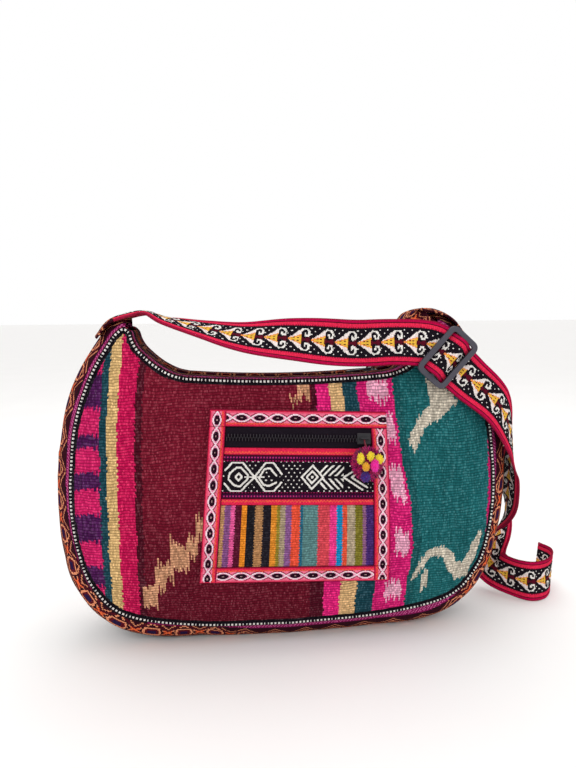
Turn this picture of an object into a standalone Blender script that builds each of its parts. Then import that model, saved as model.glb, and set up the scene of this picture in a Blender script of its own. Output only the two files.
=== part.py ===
"""Half-moon shoulder bag of striped handwoven cloth, standing on its bottom.

+X runs to the viewer's right, the front faces -Y and +Z is up. The origin is
on the floor, under the middle of the bag. All lengths are in metres.
"""
import math

import bmesh
import bpy
from mathutils import Matrix, Vector

GAP = 0.0003                 # clearance between pieces that touch

# Seam outline of the half-moon panels
SEAM_HALF_WIDTH = 0.176      # middle of the bag to the side seam
WIDEST_HEIGHT = 0.143
SEAM_BOTTOM = 0.020
BASE_HALF_RUN = 0.135        # where the bottom starts to turn up
BASE_RISE = 0.015
TOP_EDGE_HEIGHT = 0.2225     # lowest point of the hollow top edge
TOP_ARC_HALF = 0.084         # the zip runs along this arc
TOP_ARC_SAG = 0.0035
HORN_REACH = 0.132           # middle of the bag to a horn's tip
HORN_HEIGHT = 0.2665
HORN_TIP_WIDTH = 0.010

# Depth of the bag, seam to middle
HALF_DEPTH_BASE = 0.042
HALF_DEPTH_HORN = 0.022
BELLY_BULGE = 0.016          # how far the filled panels stand out
BELT_CROWN = 0.024           # how far the side belt stands out
BASE_CROWN = 0.028           # the same at the bottom, pressed flat by the floor
BASE_TURN = 0.040            # height where the bottom's crown ends
HORN_CROWN = 0.0115

# Cloth and trims
PANEL_THICK = 0.0025
BELT_THICK = 0.002
LINING_THICK = 0.0008
LINING_INSET = 0.008
PIPING_RADIUS = 0.0022
PLACKET_THICK = 0.0016
PLACKET_RISE = 0.0025        # the placket's mouth above the seam
TAPE_THICK = 0.0008

# Main zip along the top arc
MAIN_ZIP_HALF = 0.088
MAIN_TAPE_WIDTH = 0.012
COIL_WIDTH = 0.006
COIL_THICK = 0.002
PLACKET_MOUTH = 0.0075       # middle of the zip to the placket's edge
PLACKET_CLOSE = 0.115        # the two plackets meet here, past the zip

# Zip sliders and their pulls
SLIDER_LENGTH = 0.011
SLIDER_WIDTH = 0.009
TAPE_LIP = 0.0004            # tape's face above the middle of the coil
SLIDER_LIFT = 0.0003         # slider's flanges above the tape
SLIDER_PLATE = 0.0014
PULL_LENGTH = 0.022
PULL_WIDTH = 0.006
PULL_THICK = 0.0012
PULL_EYE = 0.0044            # room in the pull for the bridge's leg
PULL_DROOP = math.radians(3)
BRIDGE_LENGTH = 0.0077
BRIDGE_WIDTH = 0.0016
BRIDGE_BAR = 0.0014
BRIDGE_ROOM = 0.0022         # height of the eye under the bridge
BRIDGE_PLAY = 0.0004
EYE_LIFT = 0.0002            # the eye's floor above the slider's roof

# Patch pocket, in its own flat frame (u to the right, w up)
POCKET_X = 0.005
POCKET_Z = 0.1305
POCKET_TILT = math.radians(2.4)
POCKET_HEIGHT = 0.138
POCKET_TOP_WIDTH = 0.144
POCKET_BOTTOM_WIDTH = 0.155
BRAID_WIDTH = 0.013
BRAID_THICK = 0.0022
POCKET_STANDOFF = 0.0003
POCKET_CLOTH = 0.0016
POCKET_ZIP_HEIGHT = 0.016
ZIP_EDGING = 0.009           # braided edge under the zip
MOTIF_HEIGHT = 0.026
LOWER_EDGING = 0.009
POCKET_SLIDER_U = 0.0525
POMPOM_RADIUS = 0.0112
SMALL_POMPOM_RADIUS = 0.0034
POMPOM_DROP = 0.0185
POMPOM_SQUASH = 0.62
CORD_RADIUS = 0.0006
POMPOM_STANDOFF = 0.0022     # clear of the braid when it swings

# Shoulder strap, adjuster and the belt end that holds the adjuster
STRAP_WIDTH = 0.038
STRAP_THICK = 0.0016
BUCKLE_BAR = 0.0034
BUCKLE_THICK = 0.0030
BUCKLE_RUN = 0.028           # along the strap
BUCKLE_PLACE = Vector((0.130, -0.0445, 0.2412))
BUCKLE_SLOPE = math.radians(42)
HORN_SEAT = 0.0013           # slack of the bands over the horns
HORN_CAMBER = 0.0035
BUCKLE_PLAY = 0.0006         # strap edge to buckle side

STRIPES = [                  # right edge of each stripe of the front, colour
    (-0.1510, "purple"), (-0.1460, "teal_dark"), (-0.1370, "tan"),
    (-0.1240, "magenta"), (-0.1180, "wine_dark"), (0.0165, "wine"),
    (0.0245, "wine_dark"), (0.0370, "magenta"), (0.0502, "tan"),
    (0.0642, "teal_dark"), (0.0724, "magenta"), (0.0869, "pink"),
    (0.0908, "magenta"), (SEAM_HALF_WIDTH, "teal")]

COLOURS = {
    "wine": (0.155, 0.009, 0.022), "wine_dark": (0.087, 0.004, 0.010),
    "magenta": (0.50, 0.006, 0.09), "tan": (0.60, 0.36, 0.15),
    "teal": (0.014, 0.115, 0.127), "teal_dark": (0.009, 0.048, 0.061),
    "pink": (0.81, 0.36, 0.48), "purple": (0.10, 0.012, 0.11),
    "black": (0.012, 0.010, 0.014), "red": (0.75, 0.021, 0.08),
    "yellow": (0.76, 0.56, 0.03), "coral": (0.80, 0.07, 0.13),
    "grey_plastic": (0.055, 0.055, 0.07), "lining": (0.05, 0.04, 0.05)}

COLLECTION = bpy.data.collections.new("half_moon_bag")
CUTTERS = bpy.data.collections.new("cutters")


def clear_scene():
    """Start from an empty scene with the part's two collections."""
    for thing in list(bpy.data.objects):
        bpy.data.objects.remove(thing, do_unlink=True)
    for group in (COLLECTION, CUTTERS):
        bpy.context.scene.collection.children.link(group)


def material(name, colour, rough=0.9, metal=0.0):
    """Return one Principled material, made once for each name."""
    found = bpy.data.materials.get(name)
    if found:
        return found
    made = bpy.data.materials.new(name)
    made.use_nodes = True
    shader = made.node_tree.nodes["Principled BSDF"]
    shader.inputs["Base Color"].default_value = (*COLOURS[colour], 1)
    shader.inputs["Roughness"].default_value = rough
    shader.inputs["Metallic"].default_value = metal
    made.diffuse_color = (*COLOURS[colour], 1)
    return made


def add_object(name, data, look, group=COLLECTION):
    """Link one named object with its own material."""
    made = bpy.data.objects.new(name, data)
    group.objects.link(made)
    if look:
        data.materials.append(look)
    return made


def shade(mesh, angle=35):
    """Shade a mesh smooth with its corners kept sharp."""
    mesh.shade_smooth()
    mesh.set_sharp_from_angle(angle=math.radians(angle))


def solidify(thing, thickness, offset=-1):
    """Give an open sheet its thickness, inwards from the drawn face."""
    shell = thing.modifiers.new("thickness", "SOLIDIFY")
    shell.thickness = thickness
    shell.offset = offset
    return thing


def smooth(points, steps):
    """Return a smooth curve through points, steps samples to each span."""
    points = [Vector(p) for p in points]
    ends = [points[0] * 2 - points[1]] + points + [points[-1] * 2 - points[-2]]
    curve = []
    for a, b, c, d in zip(ends, ends[1:], ends[2:], ends[3:]):
        for k in range(steps):
            t = k / steps
            curve.append(0.5 * (2 * b + (c - a) * t + (2 * a - 5 * b + 4 * c - d) * t * t
                                + (3 * b - a - 3 * c + d) * t ** 3))
    curve.append(points[-1])
    return curve


def interpolate(table, x):
    """Straight interpolation in a list of (x, y), with x rising."""
    if x <= table[0][0]:
        return table[0][1]
    for (x0, y0), (x1, y1) in zip(table, table[1:]):
        if x <= x1:
            return y0 + (y1 - y0) * (x - x0) / max(x1 - x0, 1e-9)
    return table[-1][1]


# The seam outline

def lower_chain():
    """Half of the bottom outline, from the middle to the widest point."""
    a, base, rise = SEAM_HALF_WIDTH, SEAM_BOTTOM, WIDEST_HEIGHT - SEAM_BOTTOM
    run = BASE_HALF_RUN
    points = [(0, base, 0), (0.58 * run, base + 0.23 * BASE_RISE, 0),
              (run, base + BASE_RISE, 0),
              (run + 0.63 * (a - run), base + 0.325 * rise, 0),
              (run + 0.88 * (a - run), base + 0.56 * rise, 0),
              (a - 0.0006, base + 0.80 * rise, 0), (a, WIDEST_HEIGHT, 0)]
    return [(p.x, p.y) for p in smooth(points, 8)]


def upper_chain():
    """Half of the upper outline: side, horn and hollow top, x falling."""
    a, tip, top = SEAM_HALF_WIDTH, HORN_HEIGHT, TOP_EDGE_HEIGHT
    reach, half = HORN_REACH, HORN_TIP_WIDTH / 2
    side = tip - WIDEST_HEIGHT
    arc_end = top + TOP_ARC_SAG
    hollow = reach - half - TOP_ARC_HALF
    climb = tip - arc_end
    points = [(a, WIDEST_HEIGHT, 0), (a - 0.0045, WIDEST_HEIGHT + 0.37 * side, 0),
              (reach + half + 0.57 * (a - reach - half), WIDEST_HEIGHT + 0.68 * side, 0),
              (reach + half + 0.14 * (a - reach - half), tip - 0.0100, 0),
              (reach + 0.85 * half, tip - 0.0025, 0), (reach, tip, 0),
              (reach - 0.85 * half, tip - 0.0030, 0),
              (reach - 1.3 * half, tip - 0.25 * climb, 0),
              (reach - half - 0.16 * hollow, tip - 0.46 * climb, 0),
              (reach - half - 0.46 * hollow, tip - 0.75 * climb, 0),
              (reach - half - 0.76 * hollow, arc_end + 0.07 * climb, 0),
              (TOP_ARC_HALF, arc_end, 0)]
    curve = [(p.x, p.y) for p in smooth(points, 8)]
    return curve + [(TOP_ARC_HALF * k / 6, top_arc(TOP_ARC_HALF * k / 6)) for k in range(5, -1, -1)]


def top_arc_radius():
    """Radius of the arc that the main zip follows."""
    return (TOP_ARC_HALF ** 2 + TOP_ARC_SAG ** 2) / (2 * TOP_ARC_SAG)


def top_arc(x):
    """Height of the zip's arc above the floor."""
    radius = top_arc_radius()
    return TOP_EDGE_HEIGHT + radius - math.sqrt(radius ** 2 - x ** 2)


LOWER = lower_chain()
UPPER = sorted(upper_chain())


def lower(x):
    return interpolate(LOWER, abs(x))


def upper(x):
    return interpolate(UPPER, abs(x))


def stations():
    """Column positions across the bag, with one at each stripe's edge."""
    a, reach, half = SEAM_HALF_WIDTH, HORN_REACH, HORN_TIP_WIDTH / 2
    side = [0, 0.6 * TOP_ARC_HALF, MAIN_ZIP_HALF, TOP_ARC_HALF + 0.014, PLACKET_CLOSE,
            reach - 0.009, reach - half, reach - 0.5 * half, reach, reach + 0.5 * half,
            reach + half, reach + 0.013, a - 0.021, a - 0.013, a - 0.007, a - 0.002, a]
    marks = set(side) | {-x for x in side}
    edges = [x for x, _ in STRIPES if abs(x) < reach - 0.02]
    spread = sorted(marks | set(edges))
    kept = [spread[0]]
    for x in spread[1:]:
        if x - kept[-1] > 0.0015:
            kept.append(x)
    return kept


XS = stations()
COLUMNS = len(XS)


def seam_half_depth(z):
    """Distance of the seams from the bag's middle plane at a height."""
    t = min(max((z - SEAM_BOTTOM) / (HORN_HEIGHT - SEAM_BOTTOM), 0), 1)
    return HALF_DEPTH_BASE + (HALF_DEPTH_HORN - HALF_DEPTH_BASE) * t ** 1.5


def outline():
    """Closed seam outline: the bottom left to right, then the top back."""
    bottom = [Vector((x, lower(x))) for x in XS]
    top = [Vector((x, upper(x))) for x in reversed(XS[1:-1])]
    return bottom + top


LOOP = outline()


def normals(points):
    """Outward unit normals of a closed counter-clockwise outline."""
    found = []
    for before, after in zip(points[-1:] + points[:-1], points[1:] + points[:1]):
        run = (after - before).normalized()
        found.append(Vector((run.y, -run.x)))
    return found


LOOP_NORMALS = normals(LOOP)


def top_index(column):
    """Index in LOOP of the upper outline point of a column."""
    if column in (0, COLUMNS - 1):
        return column
    return 2 * (COLUMNS - 1) - column


def belly(x, t):
    """Bulge of a filled panel: t runs from the lower to the upper seam."""
    across = math.sqrt(max(0.0, 1 - (x / SEAM_HALF_WIDTH) ** 4))
    return BELLY_BULGE * across * math.sin(math.pi * min(max(t, 0), 1) ** 0.85) ** 0.8


def front_depth(x, z):
    """Distance of the front cloth's face from the bag's middle plane."""
    low, high = lower(x), upper(x)
    t = (z - low) / max(high - low, 1e-6)
    return seam_half_depth(z) + belly(x, t)


# Panels, belt, piping and lining

def panel(name, side, looks, rows=9):
    """A half-moon panel inside the piping. side is -1 in front, 1 behind."""
    inset = PIPING_RADIUS + GAP
    ring = [p - n * inset for p, n in zip(LOOP, LOOP_NORMALS)]
    mesh = bpy.data.meshes.new(name)
    verts, columns = [], []
    for i in range(COLUMNS):
        low, high = ring[i], ring[top_index(i)]
        ends = i in (0, COLUMNS - 1)
        column = []
        for r in range(1 if ends else rows + 1):
            t = r / rows
            p = low.lerp(high, t)
            bulge = 0 if ends else belly(p.x, t)
            column.append(len(verts))
            verts.append((p.x, side * (seam_half_depth(p.y) + bulge), p.y))
        columns.append(column * (rows + 1) if ends else column)
    faces, slots = [], []
    for i in range(COLUMNS - 1):
        middle = (XS[i] + XS[i + 1]) / 2
        colour = next(c for edge, c in STRIPES if middle <= edge + 1e-9)
        for r in range(rows):
            a, b = columns[i][r], columns[i + 1][r]
            c, d = columns[i + 1][r + 1], columns[i][r + 1]
            face = [v for k, v in enumerate((a, b, c, d)) if v not in (a, b, c, d)[:k]]
            faces.append(face if side < 0 else face[::-1])
            slots.append(looks.index(colour))
    mesh.from_pydata(verts, [], faces)
    mesh.update()
    thing = add_object(name, mesh, None)
    for colour in looks:
        mesh.materials.append(material(f"{name}_{colour}", colour))
    for face, slot in zip(mesh.polygons, slots):
        face.material_index = slot
    shade(mesh)
    return solidify(thing, PANEL_THICK)


def belt_path():
    """Loop indices of the side belt, from the left horn's tip to the right's."""
    left = min(range(COLUMNS), key=lambda i: abs(XS[i] + HORN_REACH))
    right = min(range(COLUMNS), key=lambda i: abs(XS[i] - HORN_REACH))
    count = len(LOOP)
    return [i % count for i in range(top_index(left), count + top_index(right) + 1)]


def crown(z):
    """How far the belt's middle stands out from the seam at a height."""
    t = min(max((z - WIDEST_HEIGHT - 0.02) / (HORN_HEIGHT - WIDEST_HEIGHT - 0.02), 0), 1)
    low = min(max((BASE_TURN - z) / (BASE_TURN - SEAM_BOTTOM), 0), 1)
    return BELT_CROWN + (HORN_CROWN - BELT_CROWN) * t ** 0.8 + (BASE_CROWN - BELT_CROWN) * low


def arch(v):
    """Profile of the belt across its width, from 0 at a seam to 1."""
    return 1 - abs(2 * v - 1) ** 2.4


def strip_section(point, normal, half, rise, marks):
    """Points across a band between the two seams, front to rear."""
    row = []
    for v in marks:
        y = -half + 2 * half * v
        p = point + normal * rise * arch(v)
        row.append(Vector((p.x, y, max(p.y, 0.0))))
    return row


def sheet_mesh(name, rows, look, flip=False):
    """An open sheet through rows of points."""
    mesh = bpy.data.meshes.new(name)
    width = len(rows[0])
    verts = [p for row in rows for p in row]
    faces = []
    for r in range(len(rows) - 1):
        for k in range(width - 1):
            a = r * width + k
            quad = (a, a + 1, a + width + 1, a + width)
            faces.append(quad[::-1] if flip else quad)
    mesh.from_pydata(verts, [], faces)
    mesh.update()
    shade(mesh)
    return add_object(name, mesh, look)


def belt():
    """The patterned belt round the sides and the flattened bottom."""
    marks = (0, 0.10, 0.28, 0.5, 0.72, 0.90, 1)
    edge = PIPING_RADIUS + GAP
    rows = []
    for i in belt_path():
        half = seam_half_depth(LOOP[i].y) - edge
        rows.append(strip_section(LOOP[i], LOOP_NORMALS[i], half, crown(LOOP[i].y), marks))
    made = sheet_mesh("gusset_belt", rows, material("belt", "purple"))
    return solidify(made, BELT_THICK)


def piping(name, side):
    """Corded piping all round one panel, as a closed tube."""
    curve = bpy.data.curves.new(name, "CURVE")
    curve.dimensions = "3D"
    curve.bevel_depth = PIPING_RADIUS
    curve.bevel_resolution = 1
    line = curve.splines.new("POLY")
    line.points.add(len(LOOP) - 1)
    for knot, p in zip(line.points, LOOP):
        knot.co = (p.x, side * seam_half_depth(p.y), p.y, 1)
    line.use_cyclic_u = True
    return add_object(name, curve, material(name, "black"))


def lining():
    """Loose lining bag, open in a slot under the main zip."""
    half = [0, 0.34, 0.68, 1.0]
    reach = SEAM_HALF_WIDTH - 2 * LINING_INSET
    marks = [MAIN_ZIP_HALF * t for t in half] + [MAIN_ZIP_HALF + (reach - MAIN_ZIP_HALF) * t
                                                 for t in half[1:]]
    sections = []
    for x in [-x for x in marks[:0:-1]] + marks:
        low = max(lower(x) - 1.5 * LINING_INSET, BELT_THICK + LINING_INSET / 2)
        high = upper(x) - LINING_INSET
        if abs(x) <= MAIN_ZIP_HALF:
            high = top_arc(x) - zip_level() - TAPE_THICK - GAP
        section = []
        for side, ts in ((-1, (1, 0.7, 0.4, 0.14, 0)), (1, (0, 0.14, 0.4, 0.7, 1))):
            for t in ts:
                z = low + (high - low) * t
                full = front_depth(x, z) - PANEL_THICK - LINING_INSET * 0.6
                narrow = {0: 0.45, 1: 0.30}.get(t, 1)
                section.append(Vector((x, side * max(full, 0.006) * narrow, z)))
        sections.append(section)
    mesh = bpy.data.meshes.new("lining")
    width = len(sections[0])
    verts = [p for section in sections for p in section]
    faces = []
    for r in range(len(sections) - 1):
        for k in range(width):
            middle = (sections[r][0].x + sections[r + 1][0].x) / 2
            if k == width - 1 and abs(middle) < MAIN_ZIP_HALF:
                continue
            n = (k + 1) % width
            faces.append((r * width + k, r * width + n, (r + 1) * width + n, (r + 1) * width + k))
    faces.append(tuple(range(width))[::-1])
    faces.append(tuple((len(sections) - 1) * width + k for k in range(width)))
    mesh.from_pydata(verts, [], faces)
    mesh.update()
    cage = bmesh.new()
    cage.from_mesh(mesh)
    bmesh.ops.recalc_face_normals(cage, faces=cage.faces)
    cage.to_mesh(mesh)
    cage.free()
    shade(mesh)
    return solidify(add_object("lining", mesh, material("lining", "lining")), LINING_THICK)


# Top placket and main zip

def top_columns(limit):
    """Upper outline points between -limit and limit, left to right."""
    return [i for i in range(COLUMNS) if abs(XS[i]) <= limit + 1e-6]


def mouth(x):
    """Half of the slot between the plackets, which closes past the zip."""
    past = (abs(x) - MAIN_ZIP_HALF) / (PLACKET_CLOSE - MAIN_ZIP_HALF)
    return PLACKET_MOUTH + (GAP / 2 - PLACKET_MOUTH) * min(max(past, 0), 1)


def placket(name, side):
    """Cloth strip between the top piping and the main zip."""
    rows = []
    for i in top_columns(HORN_REACH - HORN_TIP_WIDTH / 4 - 0.0005):
        p = LOOP[top_index(i)]
        n = LOOP_NORMALS[top_index(i)]
        outer = seam_half_depth(p.y) - PIPING_RADIUS - GAP
        high = p + n * PLACKET_RISE
        rows.append([Vector((p.x, side * outer, p.y)),
                     Vector((high.x, side * (outer + mouth(p.x)) / 2, high.y)),
                     Vector((high.x, side * mouth(p.x), high.y))])
    made = sheet_mesh(name, rows, material("placket", "wine_dark"), flip=side < 0)
    return solidify(made, PLACKET_THICK)


def arc_point(angle, drop):
    """A point on the zip's arc, lowered by drop below the drawn edge."""
    radius = top_arc_radius()
    centre = TOP_EDGE_HEIGHT + radius
    return Vector((math.sin(angle) * (radius + drop), 0, centre - math.cos(angle) * (radius + drop)))


def zip_level():
    """Depth of the tape's face below the top arc."""
    return PLACKET_THICK - PLACKET_RISE + GAP


def arc_strip(name, y0, y1, drop, thick, look, pieces=14):
    """A band along the zip's arc between two depths, drop below the arc."""
    reach = MAIN_ZIP_HALF / top_arc_radius()
    rows = []
    for k in range(pieces + 1):
        p = arc_point(-reach + 2 * reach * k / pieces, drop)
        rows.append([p + Vector((0, y0, 0)), p + Vector((0, y1, 0))])
    return solidify(sheet_mesh(name, rows, look, flip=y0 < y1), thick)


def main_zip():
    """Two tapes and the closed coil between them."""
    look = material("zip_tape", "black")
    level = zip_level()
    inner = COIL_WIDTH / 2 + GAP
    for name, side in (("main_zip_tape_front", -1), ("main_zip_tape_rear", 1)):
        y0, y1 = sorted((side * inner, side * (inner + MAIN_TAPE_WIDTH)))
        arc_strip(name, y0, y1, level, TAPE_THICK, look)
    arc_strip("main_zip_coil", -COIL_WIDTH / 2, COIL_WIDTH / 2, level + TAPE_LIP - COIL_THICK / 2,
              COIL_THICK, material("zip_coil", "black", 0.5), pieces=24)


def box(name, size, place, look, group=COLLECTION, bevel=0.0):
    """A box made from a primitive cube, with its scale applied."""
    mesh = bpy.data.meshes.new(name)
    cage = bmesh.new()
    bmesh.ops.create_cube(cage, size=1, matrix=Matrix.Translation(place) @ Matrix.Diagonal((*size, 1)))
    if bevel:
        bmesh.ops.bevel(cage, geom=cage.edges[:], offset=bevel, segments=1, affect="EDGES")
    cage.to_mesh(mesh)
    cage.free()
    return add_object(name, mesh, look, group)


def boolean(thing, other, operation):
    """Join or cut with another object, which goes with the cutters."""
    modifier = thing.modifiers.new(operation.lower(), "BOOLEAN")
    modifier.operation = operation
    modifier.object = other
    other.hide_render = True
    other.display_type = "WIRE"


def slider(name, frame, look):
    """A zip slider over the coil. frame takes x along the zip, z outwards."""
    roof = COIL_THICK / 2 + GAP
    height = roof + SLIDER_PLATE
    foot = SLIDER_LIFT + TAPE_LIP
    body = box(name, (SLIDER_LENGTH, SLIDER_WIDTH, height - foot), (0, 0, (height + foot) / 2), look,
               bevel=0.0004)
    groove = box(f"{name}_groove", (SLIDER_LENGTH * 2, COIL_WIDTH + 2 * GAP, roof * 2), (0, 0, 0),
                 None, CUTTERS)
    sunk = SLIDER_PLATE / 2
    tall = sunk + EYE_LIFT + BRIDGE_ROOM + BRIDGE_BAR
    bridge = box(f"{name}_bridge", (BRIDGE_LENGTH, BRIDGE_WIDTH, tall),
                 (0, 0, height - sunk + tall / 2), None, CUTTERS, bevel=0.0004)
    eye = box(f"{name}_eye", (BRIDGE_LENGTH - 2 * BRIDGE_BAR, BRIDGE_WIDTH * 3, BRIDGE_ROOM),
              (0, 0, height + EYE_LIFT + BRIDGE_ROOM / 2), None, CUTTERS)
    boolean(body, bridge, "UNION")
    boolean(body, eye, "DIFFERENCE")
    boolean(body, groove, "DIFFERENCE")
    for thing in (body, groove, bridge, eye):
        thing.matrix_world = frame
    return body


def bridge_height():
    """Height of the middle of the slider's eye above the coil's middle."""
    return COIL_THICK / 2 + GAP + SLIDER_PLATE + EYE_LIFT + BRIDGE_ROOM / 2


def flat_outline(name, rings, thick, look, frame):
    """A flat plate with holes: the first ring is the outline."""
    curve = bpy.data.curves.new(name, "CURVE")
    curve.dimensions = "2D"
    curve.fill_mode = "BOTH"
    curve.extrude = thick / 2
    for ring in rings:
        line = curve.splines.new("POLY")
        line.points.add(len(ring) - 1)
        for knot, (x, y) in zip(line.points, ring):
            knot.co = (x, y, 0, 1)
        line.use_cyclic_u = True
    made = add_object(name, curve, look)
    made.matrix_world = frame
    return made


def rounded(width, height, radius, steps=4, centre=(0, 0)):
    """Outline of a rectangle with round corners, counter-clockwise."""
    ring = []
    for sx, sy, start in ((1, 1, 0), (-1, 1, 90), (-1, -1, 180), (1, -1, 270)):
        for k in range(steps + 1):
            angle = math.radians(start + 90 * k / steps)
            ring.append((centre[0] + sx * (width / 2 - radius) + radius * math.cos(angle),
                         centre[1] + sy * (height / 2 - radius) + radius * math.sin(angle)))
    return ring


def pull_plate(name, look, frame):
    """A flat pull whose end bar turns in the slider's bridge.

    The pull's own x runs from the end bar to the free end.
    """
    end = PULL_THICK / 2
    length = PULL_LENGTH
    body = rounded(length, PULL_WIDTH, PULL_WIDTH * 0.3, 3, (length / 2 - end, 0))
    eye = rounded(PULL_EYE, BRIDGE_WIDTH + 2 * BRIDGE_PLAY, 0.0003, 1, (end + PULL_EYE / 2, 0))
    hole = rounded(0.006, 0.0026, 0.0012, 2, (length - 0.0060, 0))
    return flat_outline(name, [body, eye, hole], PULL_THICK, look, frame)


# Patch pocket

def pocket_frame():
    """World frame of the pocket: x along u, z along w."""
    turn = Matrix.Rotation(POCKET_TILT, 4, "Y")
    return Matrix.Translation((POCKET_X, 0, POCKET_Z)) @ turn


def pocket_face(w):
    """Depth of the cloth behind the pocket at a height w in its frame."""
    reach = pocket_half_width(w)
    places = [pocket_frame() @ Vector((u, 0, w)) for u in (-reach, -reach / 2, 0, reach / 2, reach)]
    return max(front_depth(p.x, p.z) for p in places) + POCKET_STANDOFF


def pocket_point(u, w, proud):
    """World point on the pocket, proud of the bag's front."""
    return pocket_frame() @ Vector((u, -(pocket_face(w) + proud), w))


def pocket_half_width(w):
    """Half of the pocket's width at a height w."""
    t = w / POCKET_HEIGHT + 0.5
    return (POCKET_BOTTOM_WIDTH + (POCKET_TOP_WIDTH - POCKET_BOTTOM_WIDTH) * t) / 2


def pocket_sheet(name, left, right, low, high, proud, thick, look):
    """Cloth between two side lines given as functions of w."""
    rows_high = max(2, round((high - low) / 0.010))
    verts = []
    for r in range(rows_high + 1):
        w = low + (high - low) * r / rows_high
        for depth in (proud, proud - thick):
            verts += [pocket_point(u, w, depth) for u in (left(w), right(w))]
    faces = [(0, 1, 3, 2)]
    for r in range(rows_high):
        a = 4 * r
        for i, j in ((0, 1), (1, 3), (3, 2), (2, 0)):
            faces.append((a + j, a + i, a + i + 4, a + j + 4))
    a = 4 * rows_high
    faces.append((a, a + 2, a + 3, a + 1))
    mesh = bpy.data.meshes.new(name)
    mesh.from_pydata(verts, [], [face[::-1] for face in faces])
    mesh.update()
    shade(mesh)
    return add_object(name, mesh, look)


def pocket():
    """The pocket's cloths, braids and zip, from the back to the front."""
    top, bottom = POCKET_HEIGHT / 2, -POCKET_HEIGHT / 2
    inner_top, inner_bottom = top - BRAID_WIDTH - GAP, bottom + BRAID_WIDTH + GAP

    def edge(w):
        return pocket_half_width(w)

    def inside(w):
        return edge(w) - BRAID_WIDTH - GAP

    back = TAPE_THICK
    front = back + GAP + POCKET_CLOTH
    pocket_sheet("pocket_backing", lambda w: -edge(w) + 0.003, lambda w: edge(w) - 0.003,
                 bottom + 0.003, top - 0.003, back, TAPE_THICK, material("pocket_backing", "lining"))
    braid = material("pocket_braid", "coral")
    proud = back + GAP + BRAID_THICK
    pocket_sheet("pocket_braid_top", lambda w: -edge(w), edge, top - BRAID_WIDTH, top,
                 proud, BRAID_THICK, braid)
    pocket_sheet("pocket_braid_bottom", lambda w: -edge(w), edge, bottom, bottom + BRAID_WIDTH,
                 proud, BRAID_THICK, braid)
    pocket_sheet("pocket_braid_left", lambda w: -edge(w), lambda w: -edge(w) + BRAID_WIDTH,
                 inner_bottom, inner_top, proud, BRAID_THICK, braid)
    pocket_sheet("pocket_braid_right", lambda w: edge(w) - BRAID_WIDTH, edge,
                 inner_bottom, inner_top, proud, BRAID_THICK, braid)
    level = inner_top
    pocket_sheet("pocket_zip_tape", lambda w: -inside(w), inside, level - POCKET_ZIP_HEIGHT, level,
                 back + GAP + TAPE_THICK, TAPE_THICK, material("zip_tape", "black"))
    level -= POCKET_ZIP_HEIGHT + GAP
    pocket_sheet("pocket_zip_edging", lambda w: -inside(w), inside, level - ZIP_EDGING, level,
                 front, POCKET_CLOTH, material("edging", "red"))
    level -= ZIP_EDGING + GAP
    pocket_sheet("pocket_motif_band", lambda w: -inside(w), inside, level - MOTIF_HEIGHT, level,
                 front, POCKET_CLOTH, material("motif_band", "black"))
    level -= MOTIF_HEIGHT + GAP
    pocket_sheet("pocket_lower_edging", lambda w: -inside(w), inside, level - LOWER_EDGING, level,
                 front, POCKET_CLOTH, material("edging", "red"))
    level -= LOWER_EDGING + GAP
    pocket_sheet("pocket_striped_cloth", lambda w: -inside(w), inside, inner_bottom, level,
                 front, POCKET_CLOTH, material("striped_cloth", "tan"))


def zip_line():
    """Height of the pocket zip's middle in the pocket's frame, and its face."""
    w = POCKET_HEIGHT / 2 - BRAID_WIDTH - GAP - POCKET_ZIP_HEIGHT / 2
    low, high = w - COIL_WIDTH / 2, w + COIL_WIDTH / 2
    lean = math.atan2(pocket_face(low) - pocket_face(high), COIL_WIDTH)
    face = max(pocket_face(low), pocket_face(high), pocket_face(w))
    return w, face + TAPE_THICK * 2 + GAP - TAPE_LIP, lean


def pocket_zip_frame(u):
    """Frame on the pocket zip's coil: x along it, z straight out."""
    w, face, lean = zip_line()
    depth = face + GAP + COIL_THICK / 2
    turn = Matrix.Rotation(math.radians(90) - lean, 4, "X")
    return pocket_frame() @ Matrix.Translation((u, -depth, w)) @ turn


def pocket_zip():
    """Coil and slider of the pocket zip."""
    w = zip_line()[0]
    reach = pocket_half_width(w) - BRAID_WIDTH - 2 * GAP
    coil = box("pocket_zip_coil", (2 * reach, COIL_WIDTH, COIL_THICK), (0, 0, 0),
               material("zip_coil", "black", 0.5), bevel=0.0006)
    coil.matrix_world = pocket_zip_frame(0)
    slider("pocket_slider", pocket_zip_frame(POCKET_SLIDER_U), material("slider", "black", 0.35, 0.6))


def ball(name, place, radius, look, detail, squash=1.0):
    """A wool pompom as a faceted ball."""
    mesh = bpy.data.meshes.new(name)
    cage = bmesh.new()
    bmesh.ops.create_icosphere(cage, subdivisions=detail, radius=radius,
                               matrix=Matrix.Diagonal((1, squash, 1, 1)))
    cage.to_mesh(mesh)
    cage.free()
    shade(mesh, 60)
    made = add_object(name, mesh, look)
    made.location = place
    return made


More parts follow.
